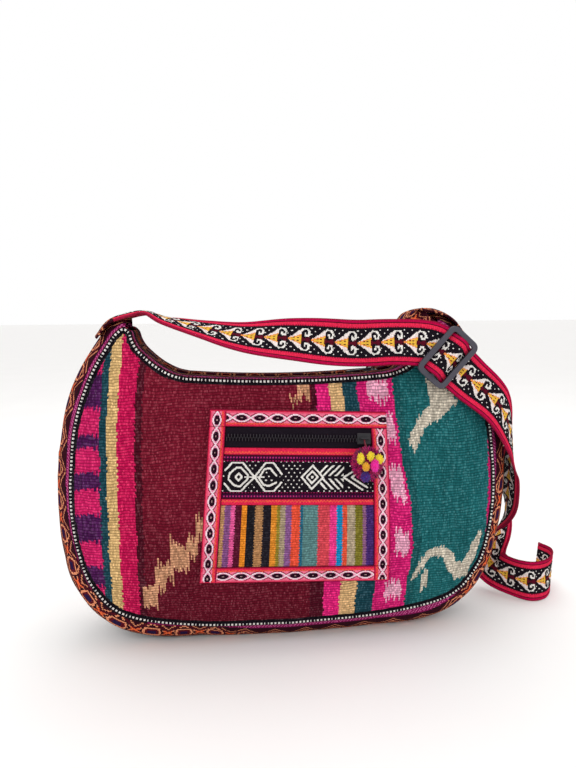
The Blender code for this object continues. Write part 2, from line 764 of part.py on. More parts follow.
def pompoms():
    """Pull loop and the cluster of wool pompoms on the pocket's slider."""
    frame = pocket_zip_frame(POCKET_SLIDER_U)
    pivot = frame @ Vector((0, 0, bridge_height()))
    clear = pocket_face(zip_line()[0] - POMPOM_DROP) + TAPE_THICK + GAP + BRAID_THICK
    hang = pivot + Vector((0, 0, -POMPOM_DROP))
    hang.y = -(clear + POMPOM_RADIUS * POMPOM_SQUASH + POMPOM_STANDOFF)
    loop = bpy.data.curves.new("pompom_cord", "CURVE")
    loop.dimensions = "3D"
    loop.bevel_depth = CORD_RADIUS
    loop.bevel_resolution = 1
    loop.use_fill_caps = True
    line = loop.splines.new("POLY")
    knots = smooth([pivot, frame @ Vector((0, -SLIDER_WIDTH / 3, bridge_height() + CORD_RADIUS / 2)),
                    Vector((pivot.x, (pivot.y + hang.y) / 2 - 0.001, pivot.z - 0.005)),
                    hang + Vector((0, 0, POMPOM_RADIUS + 2 * GAP))], 3)
    line.points.add(len(knots) - 1)
    for knot, p in zip(line.points, knots):
        knot.co = (*p, 1)
    add_object("pompom_cord", loop, material("pompom_cord", "wine"))
    ball("pompom_wine", hang, POMPOM_RADIUS, material("pompom_wine", "wine", 1.0), 2, POMPOM_SQUASH)
    small = [("pompom_pink", 0.46, 0.12, "magenta"), ("pompom_yellow_1", -0.80, 0.72, "yellow"),
             ("pompom_yellow_2", 0.08, 0.92, "yellow"), ("pompom_yellow_3", 0.92, 0.62, "yellow"),
             ("pompom_yellow_4", -0.42, 0.05, "yellow"), ("pompom_navy", -0.35, -0.92, "purple")]
    radius = SMALL_POMPOM_RADIUS
    for name, side, up, colour in small:
        spread = Vector((side, 0, up))
        length = min(spread.length, 1.0)
        lift = math.sqrt(max(0.0, 1 - (0.75 * length) ** 2))
        out = Vector((side * 0.75, -lift, up * 0.75)).normalized()
        skin = POMPOM_RADIUS / Vector((out.x, out.y / POMPOM_SQUASH, out.z)).length
        ball(name, hang + out * (skin + radius), radius, material(name, colour, 1.0), 1)


def main_slider():
    """Slider and pull of the main zip, closed at the right end."""
    angle = (MAIN_ZIP_HALF - SLIDER_LENGTH) / top_arc_radius()
    place = arc_point(angle, zip_level() + TAPE_LIP)
    frame = Matrix.Translation(place) @ Matrix.Rotation(-angle, 4, "Y")
    look = material("slider", "black", 0.35, 0.6)
    slider("main_slider", frame, look)
    pivot = frame @ Matrix.Translation((0, 0, bridge_height()))
    pull_plate("main_pull", look, pivot @ Matrix.Rotation(math.pi - PULL_DROOP, 4, "Y"))


# Strap, adjuster and belt end

def ribbon(name, route, width, thick, look, steps, across=3):
    """A webbing band. route lists (point, direction of its width, camber)."""
    centres = smooth([p for p, _, _ in route], steps)
    sides = smooth([s for _, s, _ in route], steps)
    bows = smooth([Vector((c, 0, 0)) for _, _, c in route], steps)
    verts, width_count = [], across + 1
    for k, (p, side, bow) in enumerate(zip(centres, sides, bows)):
        run = centres[min(k + 1, len(centres) - 1)] - centres[max(k - 1, 0)]
        run.normalize()
        side = (side - run * side.dot(run)).normalized()
        out = run.cross(side)
        for sign in (1, -1):
            for j in range(width_count):
                s = (2 * j / across - 1) * sign
                sag = -bow.x * s * s
                verts.append(p + side * (s * width / 2) + out * (sign * thick / 2 + sag))
    ring = 2 * width_count
    faces = []
    for k in range(len(centres) - 1):
        for j in range(ring):
            a, b = k * ring + j, k * ring + (j + 1) % ring
            faces.append((a, a + ring, b + ring, b))
    last = (len(centres) - 1) * ring
    for j in range(across):
        other = ring - 2 - j
        faces.append((j, j + 1, other, other + 1))
        faces.append((last + j + 1, last + j, last + other + 1, last + other))
    mesh = bpy.data.meshes.new(name)
    mesh.from_pydata(verts, [], faces)
    mesh.update()
    cage = bmesh.new()
    cage.from_mesh(mesh)
    bmesh.ops.recalc_face_normals(cage, faces=cage.faces)
    cage.to_mesh(mesh)
    cage.free()
    shade(mesh, 50)
    return add_object(name, mesh, look)


def horn_crest(side, distance):
    """Point on the belt's crest at a horn, and the outward direction.

    distance is measured outwards in x from the horn's tip.
    """
    x = side * (HORN_REACH + distance)
    here = Vector((x, upper(x)))
    near = Vector((x + 0.001, upper(x + 0.001)))
    run = (near - here).normalized()
    normal = Vector((-run.y, run.x))
    if distance > -0.001:
        p = here + normal * crown(here.y)
    else:
        p = Vector((x, HORN_HEIGHT + HORN_CROWN))
        normal = Vector((0, 1))
    return Vector((p.x, 0, p.y)), Vector((normal.x, 0, normal.y))


def buckle_axes():
    """Directions along the strap, along the bars and out of the face."""
    along = Vector((math.cos(BUCKLE_SLOPE), 0, -math.sin(BUCKLE_SLOPE)))
    bars = Vector((math.sin(BUCKLE_SLOPE), 0, math.cos(BUCKLE_SLOPE)))
    return along, bars, Vector((0, -1, 0))


def strap():
    """The shoulder strap, from the left horn to its hemmed free end."""
    lift = GAP + STRAP_THICK / 2
    deep = Vector((0, 1, 0))
    start = []
    for distance in (0.0125, 0.0055, 0.0):
        crest, out = horn_crest(-1, distance)
        start.append((crest + out * (lift + HORN_SEAT), deep, HORN_CAMBER))
    left_top = start[-1][0]
    along, bars, out = buckle_axes()
    over = BUCKLE_THICK / 2 + STRAP_THICK * 1.5 + 3 * GAP
    under = BUCKLE_THICK / 2 + 2 * GAP + STRAP_THICK * 0.6
    bar = (BUCKLE_RUN - BUCKLE_BAR) / 2
    place = BUCKLE_PLACE
    up = Vector((0, 0, 1))
    free = [(left_top + Vector((0.014, -0.001, 0.0005)), deep, 0.002),
            (left_top + Vector((0.030, -0.006, -0.0055)), Vector((-0.10, 1.0, 0.18)), 0.001),
            (left_top + Vector((0.060, -0.017, -0.0135)), Vector((-0.10, 0.93, 0.36)), 0),
            (left_top + Vector((0.093, -0.027, -0.0200)), Vector((0, 0.80, 0.60)), 0),
            (left_top + Vector((0.133, -0.036, -0.0225)), Vector((0, 0.48, 0.88)), 0)]
    mid = [(place + Vector((-0.080, 0.0045, 0.0125)), up, 0),
           (place + Vector((-0.045, 0.0030, 0.0130)), Vector((0.08, 0.20, 1)), 0),
           (place + Vector((-0.0215, 0.0030, 0.0120)), Vector((0.40, 0, 0.92)), 0)]
    step = BUCKLE_BAR * 0.62
    wave = [(-bar - step, -under), (-bar + step, -under), (-bar / 2, (over - under) / 2),
            (-step, over), (step, over), (bar / 2, (over - under) / 2), (bar - step, -under),
            (bar + step, -under)]
    threaded = [(place + along * s + out * o, bars, 0) for s, o in wave]
    side = Vector((SEAM_HALF_WIDTH + BELT_CROWN, 0, 0))
    right = [(place + along * (bar + 0.016) - out * under, bars + Vector((-0.1, 0.1, 0)), 0),
             (Vector((side.x - 0.022, -0.0400, 0.199)), Vector((0.62, 0.40, 0.55)), 0.001),
             (Vector((side.x - 0.002, -0.0240, 0.166)), Vector((0.50, 0.85, 0.18)), 0.001),
             (Vector((side.x + 0.0058, -0.0080, 0.138)), Vector((0.10, 1.0, 0)), 0),
             (Vector((side.x + 0.0095, 0.0000, 0.112)), Vector((0.02, 1.0, 0)), 0),
             (Vector((side.x + 0.0125, 0.0085, 0.094)), Vector((0.25, 0.95, 0)), 0),
             (Vector((side.x + 0.0140, 0.0180, 0.078)), Vector((0.62, 0.78, 0)), 0),
             (Vector((side.x + 0.0150, 0.0350, 0.050)), Vector((0.97, 0.20, 0.10)), 0),
             (Vector((side.x + 0.0120, 0.0400, 0.0315)), Vector((0.85, 0.05, 0.50)), 0),
             (Vector((side.x + 0.0135, 0.0330, 0.0225)), Vector((0.25, 0.05, 1.0)), 0),
             (Vector((side.x + 0.0230, 0.0170, 0.0200)), Vector((-0.05, 0.12, 1)), 0),
             (Vector((side.x + 0.0360, 0.0040, 0.0200)), Vector((0, 0.10, 1)), 0),
             (Vector((side.x + 0.0520, 0.0060, 0.0200)), Vector((0, 0.08, 1)), 0),
             (Vector((side.x + 0.0660, 0.0190, 0.0200)), Vector((0, -0.04, 1)), 0),
             (Vector((side.x + 0.0730, 0.0350, 0.0200)), Vector((0.10, -0.05, 1)), 0),
             (Vector((side.x + 0.0690, 0.0500, 0.0200)), Vector((0.10, 0, 1)), 0)]
    return ribbon("strap", start + free + mid + threaded + right, STRAP_WIDTH, STRAP_THICK,
                  material("strap", "red"), 4)


def buckle():
    """The three-bar adjuster as a plate with two slots."""
    along, bars, out = buckle_axes()
    inner = STRAP_WIDTH + 2 * BUCKLE_PLAY
    slot = (BUCKLE_RUN - 3 * BUCKLE_BAR) / 2
    offset = (slot + BUCKLE_BAR) / 2
    frame = Matrix((along, bars, out)).transposed().to_4x4()
    frame.translation = BUCKLE_PLACE
    rings = [rounded(BUCKLE_RUN, inner + 2 * BUCKLE_BAR, 0.005, 4),
             rounded(slot, inner, 0.0015, 2, (-offset, 0)),
             rounded(slot, inner, 0.0015, 2, (offset, 0))]
    return flat_outline("buckle", rings, BUCKLE_THICK, material("buckle", "grey_plastic", 0.45), frame)


def buckle_tab():
    """The belt's end over the right horn, folded forwards round the middle bar."""
    lift = GAP + STRAP_THICK / 2
    deep = Vector((0, -1, 0))
    route = []
    for distance in (0.0125, 0.0055, 0.0):
        crest, out = horn_crest(1, distance)
        route.append((crest + out * (lift + HORN_SEAT), deep, HORN_CAMBER))
    top = route[-1][0]
    along, bars, out = buckle_axes()
    place = BUCKLE_PLACE
    wrap = BUCKLE_BAR / 2 + GAP + STRAP_THICK / 2
    route += [(top + Vector((-0.012, 0, 0.0008)), deep, 0.002),
              (top + Vector((-0.0215, -0.001, -0.0015)), deep, 0.001),
              (top + Vector((-0.0265, -0.005, -0.0080)), Vector((0.25, -1, 0)), 0),
              (top + Vector((-0.0275, -0.016, -0.0150)), Vector((0.85, -0.75, 0.25)), 0),
              (top + Vector((-0.0240, -0.026, -0.0215)), bars + Vector((0, -0.25, 0)), 0)]
    turn = [(-0.0125, -wrap - 0.0048), (-0.0075, -wrap - 0.0030), (-0.0030, -wrap - 0.0006),
            (0.0, -wrap), (wrap * 0.75, -wrap * 0.9), (wrap * 1.12, -wrap * 0.45),
            (wrap * 1.12, wrap * 0.45), (wrap * 0.75, wrap * 0.9), (0.0, wrap)]
    route += [(place + along * s + out * o, bars, 0) for s, o in turn]
    return ribbon("buckle_tab", route, STRAP_WIDTH - 0.0005, STRAP_THICK, material("belt", "purple"), 4)


def build():
    """Build every piece of the bag."""
    clear_scene()
    looks = sorted({colour for _, colour in STRIPES})
    panel("front_panel", -1, looks)
    panel("back_panel", 1, looks)
    belt()
    piping("piping_front", -1)
    piping("piping_rear", 1)
    lining()
    placket("placket_front", -1)
    placket("placket_rear", 1)
    main_zip()
    main_slider()
    pocket()
    pocket_zip()
    pompoms()
    strap()
    buckle()
    buckle_tab()


build()
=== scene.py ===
"""Dressed scene of the half-moon bag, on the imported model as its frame.

Lengths are in metres, with pattern coordinates in millimetres. +X runs to
the viewer's right, the front faces -Y and +Z is up.
"""
from math import cos, hypot, pi, radians, sin, sqrt

import bmesh
import bpy
import numpy as np
from mathutils import Matrix, Vector


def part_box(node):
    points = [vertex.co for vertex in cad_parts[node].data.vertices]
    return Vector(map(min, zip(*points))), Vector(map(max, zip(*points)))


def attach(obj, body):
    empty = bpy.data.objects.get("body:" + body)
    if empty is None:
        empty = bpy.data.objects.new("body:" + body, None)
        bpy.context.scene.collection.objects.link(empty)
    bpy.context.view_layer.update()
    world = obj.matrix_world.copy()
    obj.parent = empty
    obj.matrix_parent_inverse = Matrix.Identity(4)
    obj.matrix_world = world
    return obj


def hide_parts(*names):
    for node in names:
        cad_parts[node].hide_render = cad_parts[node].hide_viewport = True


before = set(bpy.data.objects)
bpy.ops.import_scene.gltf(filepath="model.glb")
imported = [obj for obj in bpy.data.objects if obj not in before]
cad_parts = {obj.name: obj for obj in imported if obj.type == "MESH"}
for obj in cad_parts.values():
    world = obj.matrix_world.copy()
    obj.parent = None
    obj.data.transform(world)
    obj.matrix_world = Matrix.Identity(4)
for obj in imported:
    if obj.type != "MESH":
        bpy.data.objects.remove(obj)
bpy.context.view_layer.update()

MM = 0.001

# Sizes of the bag
SEAM_HALF_WIDTH = 0.176
WIDEST_HEIGHT = 0.143
SEAM_BOTTOM = 0.020
BASE_HALF_RUN = 0.135
BASE_RISE = 0.015
TOP_EDGE_HEIGHT = 0.2225
TOP_ARC_HALF = 0.084
TOP_ARC_SAG = 0.0035
HORN_REACH = 0.132
HORN_HEIGHT = 0.2665
HORN_TIP_WIDTH = 0.010
HALF_DEPTH_BASE = 0.042
HALF_DEPTH_HORN = 0.022
BELLY_BULGE = 0.016
BELT_CROWN = 0.024
BASE_CROWN = 0.028
BASE_TURN = 0.040
HORN_CROWN = 0.0115
PIPING_RADIUS = 0.0022
SEAM_GAP = 0.0003
PLACKET_THICK = 0.0016
PLACKET_RISE = 0.0025
PLACKET_MOUTH = 0.0075
PLACKET_CLOSE = 0.115
MAIN_ZIP_HALF = 0.088
TAPE_THICK = 0.0008
POCKET_X, POCKET_Z = 0.005, 0.1305
POCKET_TILT = radians(2.4)
POCKET_HEIGHT = 0.138
POCKET_TOP_WIDTH = 0.144
POCKET_BOTTOM_WIDTH = 0.155
BRAID_WIDTH = 0.013
BRAID_THICK = 0.0022
POCKET_STANDOFF = 0.0003
POCKET_CLOTH = 0.0016
POCKET_ZIP_HEIGHT = 0.016
ZIP_EDGING = 0.009
MOTIF_HEIGHT = 0.026
LOWER_EDGING = 0.009
PANEL_INSET = 0.0012         # how far panels, belt and plackets start inside the seam
PANEL_REACH = SEAM_HALF_WIDTH - 0.0016
PLACKET_REACH = 0.1283
WEBBING_THICK = 0.0016
COIL_PITCH = 0.00125
TOP_ARC_RADIUS = (TOP_ARC_HALF ** 2 + TOP_ARC_SAG ** 2) / (2 * TOP_ARC_SAG)

# Repeats of the woven patterns and widths in them, in mm
SEAM_BLACK_AND_SHADE = 3.6              # black edge of the panels beside the piping: partly the piping's black seam allowance, partly painted shade beside the cord
BELT_REPEAT = 25.5
ARROW_REPEAT = 19.0
SEWN_END = 22.0              # the strap's start, under the belt's cloth
LEVEL_PITCH, UPRIGHT_PITCH = 14.5, 12.6


def lin(red, green, blue):
    """Linear colour of an sRGB colour given from 0 to 255."""
    return np.array([(c / 255 / 12.92) if c < 11 else ((c / 255 + 0.055) / 1.055) ** 2.4
                     for c in (red, green, blue)])


WINE, WINE_LOW = lin(122, 22, 44), lin(98, 15, 35)
WINE_DARK = lin(80, 12, 32)
MAGENTA_LEFT, MAGENTA_RIGHT = lin(200, 18, 82), lin(232, 32, 124)
TAN, TAN_RIGHT = lin(214, 176, 118), lin(224, 182, 128)
GREEN_DARK, TEAL = lin(24, 68, 80), lin(30, 104, 108)
PINK, IKAT_TAN, IKAT_GREY = lin(244, 172, 200), lin(220, 160, 122), lin(208, 198, 180)
PURPLE, DASH_MAGENTA = lin(76, 24, 80), lin(206, 30, 98)
BLACK, INK = lin(26, 20, 28), lin(36, 16, 40)
WHITE = lin(240, 236, 230)
RED, CRIMSON, MAROON = lin(232, 42, 80), lin(160, 26, 60), lin(92, 16, 36)
CORAL, ORANGE, SALMON = lin(240, 92, 126), lin(242, 108, 62), lin(238, 152, 112)
YELLOW = lin(240, 190, 70)
INDIGO = lin(44, 26, 78)
BAND_MAGENTA, BELT_GROUND = lin(176, 30, 108), lin(52, 9, 24)


# Shape of the bag

def share(a):
    """Values held between 0 and 1."""
    return np.clip(a, 0, 1)


def smooth(points, steps):
    """Smooth curve through points, steps samples to each span."""
    points = [Vector(p) for p in points]
    ends = [points[0] * 2 - points[1]] + points + [points[-1] * 2 - points[-2]]
    curve = []
    for a, b, c, d in zip(ends, ends[1:], ends[2:], ends[3:]):
        for k in range(steps):
            t = k / steps
            curve.append(0.5 * (2 * b + (c - a) * t + (2 * a - 5 * b + 4 * c - d) * t * t
                                + (3 * b - a - 3 * c + d) * t ** 3))
    curve.append(points[-1])
    return np.array([tuple(p) for p in curve])


def top_arc(x):
    return TOP_EDGE_HEIGHT + TOP_ARC_RADIUS - np.sqrt(TOP_ARC_RADIUS ** 2 - np.asarray(x) ** 2)


def chains():
    """Right half of the seam outline: the bottom and side, then the top."""
    a, base, run, rise = SEAM_HALF_WIDTH, SEAM_BOTTOM, BASE_HALF_RUN, WIDEST_HEIGHT - SEAM_BOTTOM
    bottom = smooth([(0, base), (0.58 * run, base + 0.23 * BASE_RISE), (run, base + BASE_RISE),
                     (run + 0.63 * (a - run), base + 0.325 * rise),
                     (run + 0.88 * (a - run), base + 0.56 * rise),
                     (a - 0.0006, base + 0.80 * rise), (a, WIDEST_HEIGHT)], 12)
    tip, reach, half = HORN_HEIGHT, HORN_REACH, HORN_TIP_WIDTH / 2
    side, arc_end = tip - WIDEST_HEIGHT, TOP_EDGE_HEIGHT + TOP_ARC_SAG
    inner, outer, climb = reach - half, reach + half, tip - arc_end
    hollow, flank = inner - TOP_ARC_HALF, a - outer
    top = smooth([(a, WIDEST_HEIGHT), (a - 0.0045, WIDEST_HEIGHT + 0.37 * side),
                  (outer + 0.57 * flank, WIDEST_HEIGHT + 0.68 * side),
                  (outer + 0.14 * flank, tip - 0.0100), (reach + 0.85 * half, tip - 0.0025),
                  (reach, tip), (reach - 0.85 * half, tip - 0.0030),
                  (reach - 1.3 * half, tip - 0.25 * climb), (inner - 0.16 * hollow, tip - 0.46 * climb),
                  (inner - 0.46 * hollow, tip - 0.75 * climb),
                  (inner - 0.76 * hollow, arc_end + 0.07 * climb), (TOP_ARC_HALF, arc_end)], 12)
    arc = [(x, top_arc(x)) for x in np.linspace(TOP_ARC_HALF, 0, 13)[1:]]
    return bottom, np.vstack([top, arc])


BOTTOM, TOP = chains()
UPPER = TOP[np.argsort(TOP[:, 0])]


def lower(x):
    return np.interp(abs(x), BOTTOM[:, 0], BOTTOM[:, 1])


def upper(x):
    return np.interp(abs(x), UPPER[:, 0], UPPER[:, 1])


def seam_half_depth(z):
    t = share((np.asarray(z) - SEAM_BOTTOM) / (HORN_HEIGHT - SEAM_BOTTOM))
    return HALF_DEPTH_BASE + (HALF_DEPTH_HORN - HALF_DEPTH_BASE) * t ** 1.5


def belly(x, t):
    across = np.sqrt(share(1 - (x / SEAM_HALF_WIDTH) ** 4))
    return BELLY_BULGE * across * np.sin(pi * share(t) ** 0.85) ** 0.8


def front_depth(x, z):
    low, high = lower(x), upper(x)
    return seam_half_depth(z) + belly(x, (z - low) / np.maximum(high - low, 1e-6))


def crown(z):
    t = share((z - WIDEST_HEIGHT - 0.02) / (HORN_HEIGHT - WIDEST_HEIGHT - 0.02))
    low = share((BASE_TURN - z) / (BASE_TURN - SEAM_BOTTOM))
    return BELT_CROWN + (HORN_CROWN - BELT_CROWN) * t ** 0.8 + (BASE_CROWN - BELT_CROWN) * low


def travelled(points):
    """Distance along a line at each of its points."""
    return np.concatenate([[0], np.cumsum(np.linalg.norm(np.diff(points, axis=0), axis=1))])


def resampled(points, run, s):
    return np.stack([np.interp(s, run, column) for column in points.T], 1)


def unit(rows):
    return rows / np.linalg.norm(rows, axis=1)[:, None]


def ring(step):
    """The seam outline from the bottom's middle to the top's, each way.

    Returns evenly spaced points, outward normals and distances, which are
    negative on the left.
    """
    half = np.vstack([BOTTOM, TOP[1:]])
    run = travelled(half)
    s = np.linspace(0, run[-1], int(run[-1] / step) + 1)
    right = resampled(half, run, s)
    points = np.vstack([right[::-1] * (-1, 1), right[1:]])
    along = np.concatenate([-s[::-1], s[1:]])
    closed = np.vstack([points[-2], points, points[1]])
    tangent = unit(closed[2:] - closed[:-2])
    normal = np.stack([tangent[:, 1], -tangent[:, 0]], 1)
    return points, normal, along


def raised(points, normal, lift):
    """Rows of x and of z, lifted off an outline along its normals."""
    return [points[:, k, None] + normal[:, k, None] * lift for k in (0, 1)]


# Mesh and material helpers

def new_object(name, data):
    thing = bpy.data.objects.new(name, data)
    bpy.context.scene.collection.objects.link(thing)
    return thing


def mesh_object(name, verts, faces, colours=None, uv=None, look=None, body="bag", nodes=()):
    """A smooth piece from arrays, with face colours and pattern places."""
    verts = np.asarray(verts, np.float32).reshape(-1, 3)
    faces = np.asarray(faces, np.int32)
    mesh = bpy.data.meshes.new(name)
    mesh.vertices.add(len(verts))
    mesh.vertices.foreach_set("co", verts.ravel())
    sides = faces.shape[1]
    mesh.loops.add(faces.size)
    mesh.loops.foreach_set("vertex_index", faces.ravel())
    mesh.polygons.add(len(faces))
    mesh.polygons.foreach_set("loop_start", np.arange(len(faces), dtype=np.int32) * sides)
    mesh.update(calc_edges=True)
    mesh.polygons.foreach_set("use_smooth", np.ones(len(faces), bool))
    if colours is not None:
        paint = mesh.attributes.new("pattern", "FLOAT_COLOR", "CORNER")
        rgba = np.ones((len(faces), sides, 4), np.float32)
        rgba[:, :, :3] = np.asarray(colours).reshape(-1, 1, 3)
        paint.data.foreach_set("color", rgba.ravel())
    if uv is not None:
        layer = mesh.uv_layers.new(name="weave")
        corners = np.asarray(uv, np.float32).reshape(-1, 2)[faces.ravel()]
        layer.data.foreach_set("uv", corners.ravel())
    thing = new_object(name, mesh)
    mesh.materials.append(look)
    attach(thing, body)
    if nodes:
        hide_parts(*nodes)
    return thing


def grid_faces(rows, columns, wrap=False):
    """Faces of a grid of rows by columns points."""
    across = columns if wrap else columns - 1
    r, c = np.meshgrid(np.arange(rows - 1), np.arange(across), indexing="ij")
    n = (c + 1) % columns
    quad = np.stack([r * columns + c, r * columns + n, (r + 1) * columns + n, (r + 1) * columns + c], -1)
    return quad.reshape(-1, 4)


def surface(name, x, y, z, colours, u, v, look, node, flip=False):
    """A piece from grids of places, of face colours and of weave places."""
    x, y, z, u, v = np.broadcast_arrays(x, y, z, u, v)
    faces = grid_faces(*x.shape)
    mesh_object(name, np.stack([x, y, z], -1), faces[:, ::-1] if flip else faces, colours,
                np.stack([u, v], -1), LOOKS[look], nodes=(node,))


def cell(a):
    """Middle values of a grid's faces."""
    return (a[:-1, :-1] + a[1:, :-1] + a[:-1, 1:] + a[1:, 1:]) / 4


def pick(base, *layers):
    """Paint layers (mask, colour) in order over a base colour."""
    base = np.broadcast_to(base, layers[0][0].shape + (3,))
    for mask, colour in layers:
        base = np.where(mask[..., None], colour, base)
    return base


def between(a, low, high):
    return (a > low) & (a < high)


def wave(a, period):
    """Triangle wave from -1 to 1."""
    return 4 * abs((a / period) % 1 - 0.5) - 1


def hashed(*values):
    """Steady pseudo-random numbers from 0 to 1 from whole numbers."""
    total = sum(np.floor(v) * k for v, k in zip(values, (127.1, 311.7, 74.7)))
    return abs(np.sin(total) * 43758.5453) % 1


def wired(tree, kind, inputs=None, **settings):
    """A new node of a tree, with its inputs set or linked."""
    node = tree.nodes.new(kind)
    for key, value in settings.items():
        setattr(node, key, value)
    for key, value in (inputs or {}).items():
        if isinstance(value, bpy.types.NodeSocket):
            tree.links.new(value, node.inputs[key])
        else:
            node.inputs[key].default_value = value
    return node


class Nodes:
    """Short helper to wire a material's nodes."""

    def __init__(self, name, rough, sheen=0.0, metal=0.0):
        self.material = bpy.data.materials.new(name)
        self.material.use_nodes = True
        self.tree = self.material.node_tree
        self.shader = self.tree.nodes["Principled BSDF"]
        self.place = self.add("ShaderNodeTexCoord").outputs["Object"]
        self.shader.inputs["Roughness"].default_value = rough
        self.shader.inputs["Metallic"].default_value = metal
        if sheen:
            self.shader.inputs["Sheen Weight"].default_value = sheen
            self.shader.inputs["Sheen Roughness"].default_value = 0.5

    def add(self, kind, inputs=None, **settings):
        return wired(self.tree, kind, inputs, **settings)

    def math(self, operation, a, b=0.0, c=0.0):
        return self.add("ShaderNodeMath", {0: a, 1: b, 2: c}, operation=operation).outputs[0]

    def times(self, a, b, plus=None):
        return self.math("MULTIPLY", a, b) if plus is None else self.math("MULTIPLY_ADD", a, b, plus)

    def noise(self, scale, detail=3.0):
        inputs = {"Vector": self.place, "Scale": scale, "Detail": detail}
        return self.add("ShaderNodeTexNoise", inputs).outputs["Fac"]

    def link(self, socket, name):
        """Drive one of the shader's inputs."""
        self.tree.links.new(socket, self.shader.inputs[name])

    def plain(self, colour):
        """Socket of one colour."""
        base = self.add("ShaderNodeRGB").outputs[0]
        base.default_value = (*colour, 1)
        return base

    def scaled(self, colour, factor):
        """Colour times a factor socket."""
        return self.add("ShaderNodeVectorMath", {0: colour, "Scale": factor}, operation="SCALE").outputs[0]

    def bump(self, height, distance, strength=1.0):
        node = self.add("ShaderNodeBump", {"Height": height, "Distance": distance, "Strength": strength})
        self.link(node.outputs[0], "Normal")


def cloth(name, thread, rib, depth, shadow, speck=0.15, glint_amount=0.0, rough=0.95, colour=None, sheen=0.0):
    """Woven cloth: rows of short thread floats over the pattern's colours.

    thread is a float's width and rib the rows' pitch, in mm on the weave
    layer. speck varies the floats' tone, and the glint strength paints highlights: pale glints on the
    floats' ridges.
    """
    n = Nodes(name, rough, sheen)
    n.shader.inputs["Specular IOR Level"].default_value = 0.05
    weave = n.add("ShaderNodeSeparateXYZ", {0: n.add("ShaderNodeUVMap", uv_map="weave").outputs[0]})
    drift = n.noise(240.0, 2.0)
    sway = n.noise(38.0, 2.0)
    u = n.times(drift, 0.7 * thread, weave.outputs[0])
    v = n.times(drift, 0.6 * rib, weave.outputs[1])
    v = n.times(sway, 2.6 * rib, v)
    row = n.math("DIVIDE", v, rib)
    line = n.math("FLOOR", row)
    half = n.times(n.math("MODULO", n.math("ABSOLUTE", line), 2.0), 0.5)
    column = n.math("ADD", n.math("DIVIDE", u, thread), half)
    along, across = (n.math("SINE", n.times(n.math("FRACT", place), pi)) for place in (row, column))
    height = n.times(n.math("POWER", along, 0.6), n.times(across, 0.45, 0.55))
    which = n.add("ShaderNodeCombineXYZ", {0: n.math("FLOOR", column), 1: line})
    chance = n.add("ShaderNodeTexWhiteNoise", {0: which.outputs[0]}, noise_dimensions="3D").outputs[0]
    fine = n.noise(900.0, 2.0)
    broad = n.noise(30.0, 3.0)
    depth_here = n.times(sway, 1.3 * shadow, 0.35 * shadow)
    lit = n.times(n.math("SUBTRACT", height, 0.8), depth_here, 0.90)
    lit = n.times(lit, n.times(chance, 2 * speck, 1 - speck))
    lit = n.times(lit, n.times(broad, 0.36, 0.82))
    if colour is not None:
        base = n.plain(colour)
    else:
        base = n.add("ShaderNodeAttribute", attribute_name="pattern").outputs["Color"]
    tone = n.scaled(base, lit)
    # Painted highlights: pale glints mixed into a few floats, strongest on their ridges.
    if glint_amount:
        lucky = n.times(n.math("POWER", chance, 3.0), n.times(height, glint_amount))
        glint = n.times(lucky, n.times(fine, 1.6, -0.3))
        pale = n.add("ShaderNodeVectorMath", {0: tone, 1: (1.7, 1.7, 1.7), 2: (0.10, 0.10, 0.10)},
                     operation="MULTIPLY_ADD")
        tone = n.add("ShaderNodeMix", {0: glint, 6: tone, 7: pale.outputs[0]}, data_type="RGBA").outputs[2]
    n.link(tone, "Base Color")
    n.bump(n.times(fine, 0.35, height), depth, 1.0)
    return n.material


def hard(name, colour, rough, metal, grain, scale, spread=0.25):
    """Moulded plastic or painted metal with a fine grain and wear."""
    n = Nodes(name, rough, 0.0, metal)
    fine, broad = n.noise(scale), n.noise(scale * 0.08)
    lit = n.times(broad, spread, 1 - spread / 2)
    n.link(n.scaled(n.plain(colour), lit), "Base Color")
    n.link(n.times(broad, 0.25, rough - 0.12), "Roughness")
    n.bump(fine, grain, 0.6)
    return n.material


# Front and back cloth

LEFT_EDGES = (-151.2, -145.6, -137.4, -123.8, -118.2)
EDGE_HEIGHTS = (40, 59, 90, 124, 167, 213, 240)
RIGHT_EDGES = [                       # x of each stripe's edge at the heights
    (14.0, 14.6, 15.0, 15.4, 16.4, 18.4, 20.0),
    (25.6, 26.2, 25.8, 25.2, 24.0, 22.6, 22.0),
    (39.2, 39.9, 39.0, 37.6, 35.8, 34.0, 33.0),
    (53.0, 53.5, 52.0, 50.0, 47.6, 45.6, 44.6),
    (68.4, 69.0, 67.0, 64.6, 61.0, 57.9, 56.6),
    (78.0, 79.4, 86.4, 84.8, 78.0, 67.4, 65.0),
    (91.0, 92.4, 96.4, 93.6, 88.0, 83.2, 80.0),
    (96.0, 97.4, 100.8, 97.4, 90.8, 87.9, 87.0)]
PURPLE_BANDS = ((40, 51), (61, 78), (99, 121), (141, 154), (173, 183), (204, 232))
PINK_PATCHES = ((38, 54), (80, 100), (126, 151), (172, 193), (206, 224))
WINE_PATCHES = ((-120.5, -109.5, 38, 63), (-110, -102.5, 55, 84), (-102.5, -95.5, 63, 83),
                (-97.5, -90, 75, 104), (-90, -83, 71, 97), (-84, -76, 83, 105),
                (-77, -71.5, 99, 122), (0.5, 7.8, 200, 210.5), (7.8, 18.2, 205, 226))
TEAL_UPPER = ((116, 222), (127, 220), (143, 204), (128, 192), (112, 181), (103, 163), (98, 172),
              (107, 190), (119, 201))
TEAL_LOWER = ((102, 60), (100, 51), (107, 61), (117, 74), (127, 74), (132, 62), (140, 51), (151, 52),
              (158, 70), (164, 89), (160, 94), (153, 80), (147, 67), (141, 68), (134, 79), (125, 84),
              (113, 79), (105, 68))


def inside(x, z, polygon):
    """Whether points lie in a polygon."""
    result = np.zeros(x.shape, bool)
    for (x0, z0), (x1, z1) in zip(polygon, polygon[1:] + polygon[:1]):
        crosses = (z0 > z) != (z1 > z)
        result ^= crosses & (x < x0 + (z - z0) * (x1 - x0) / ((z1 - z0) or 1e-9))
    return result


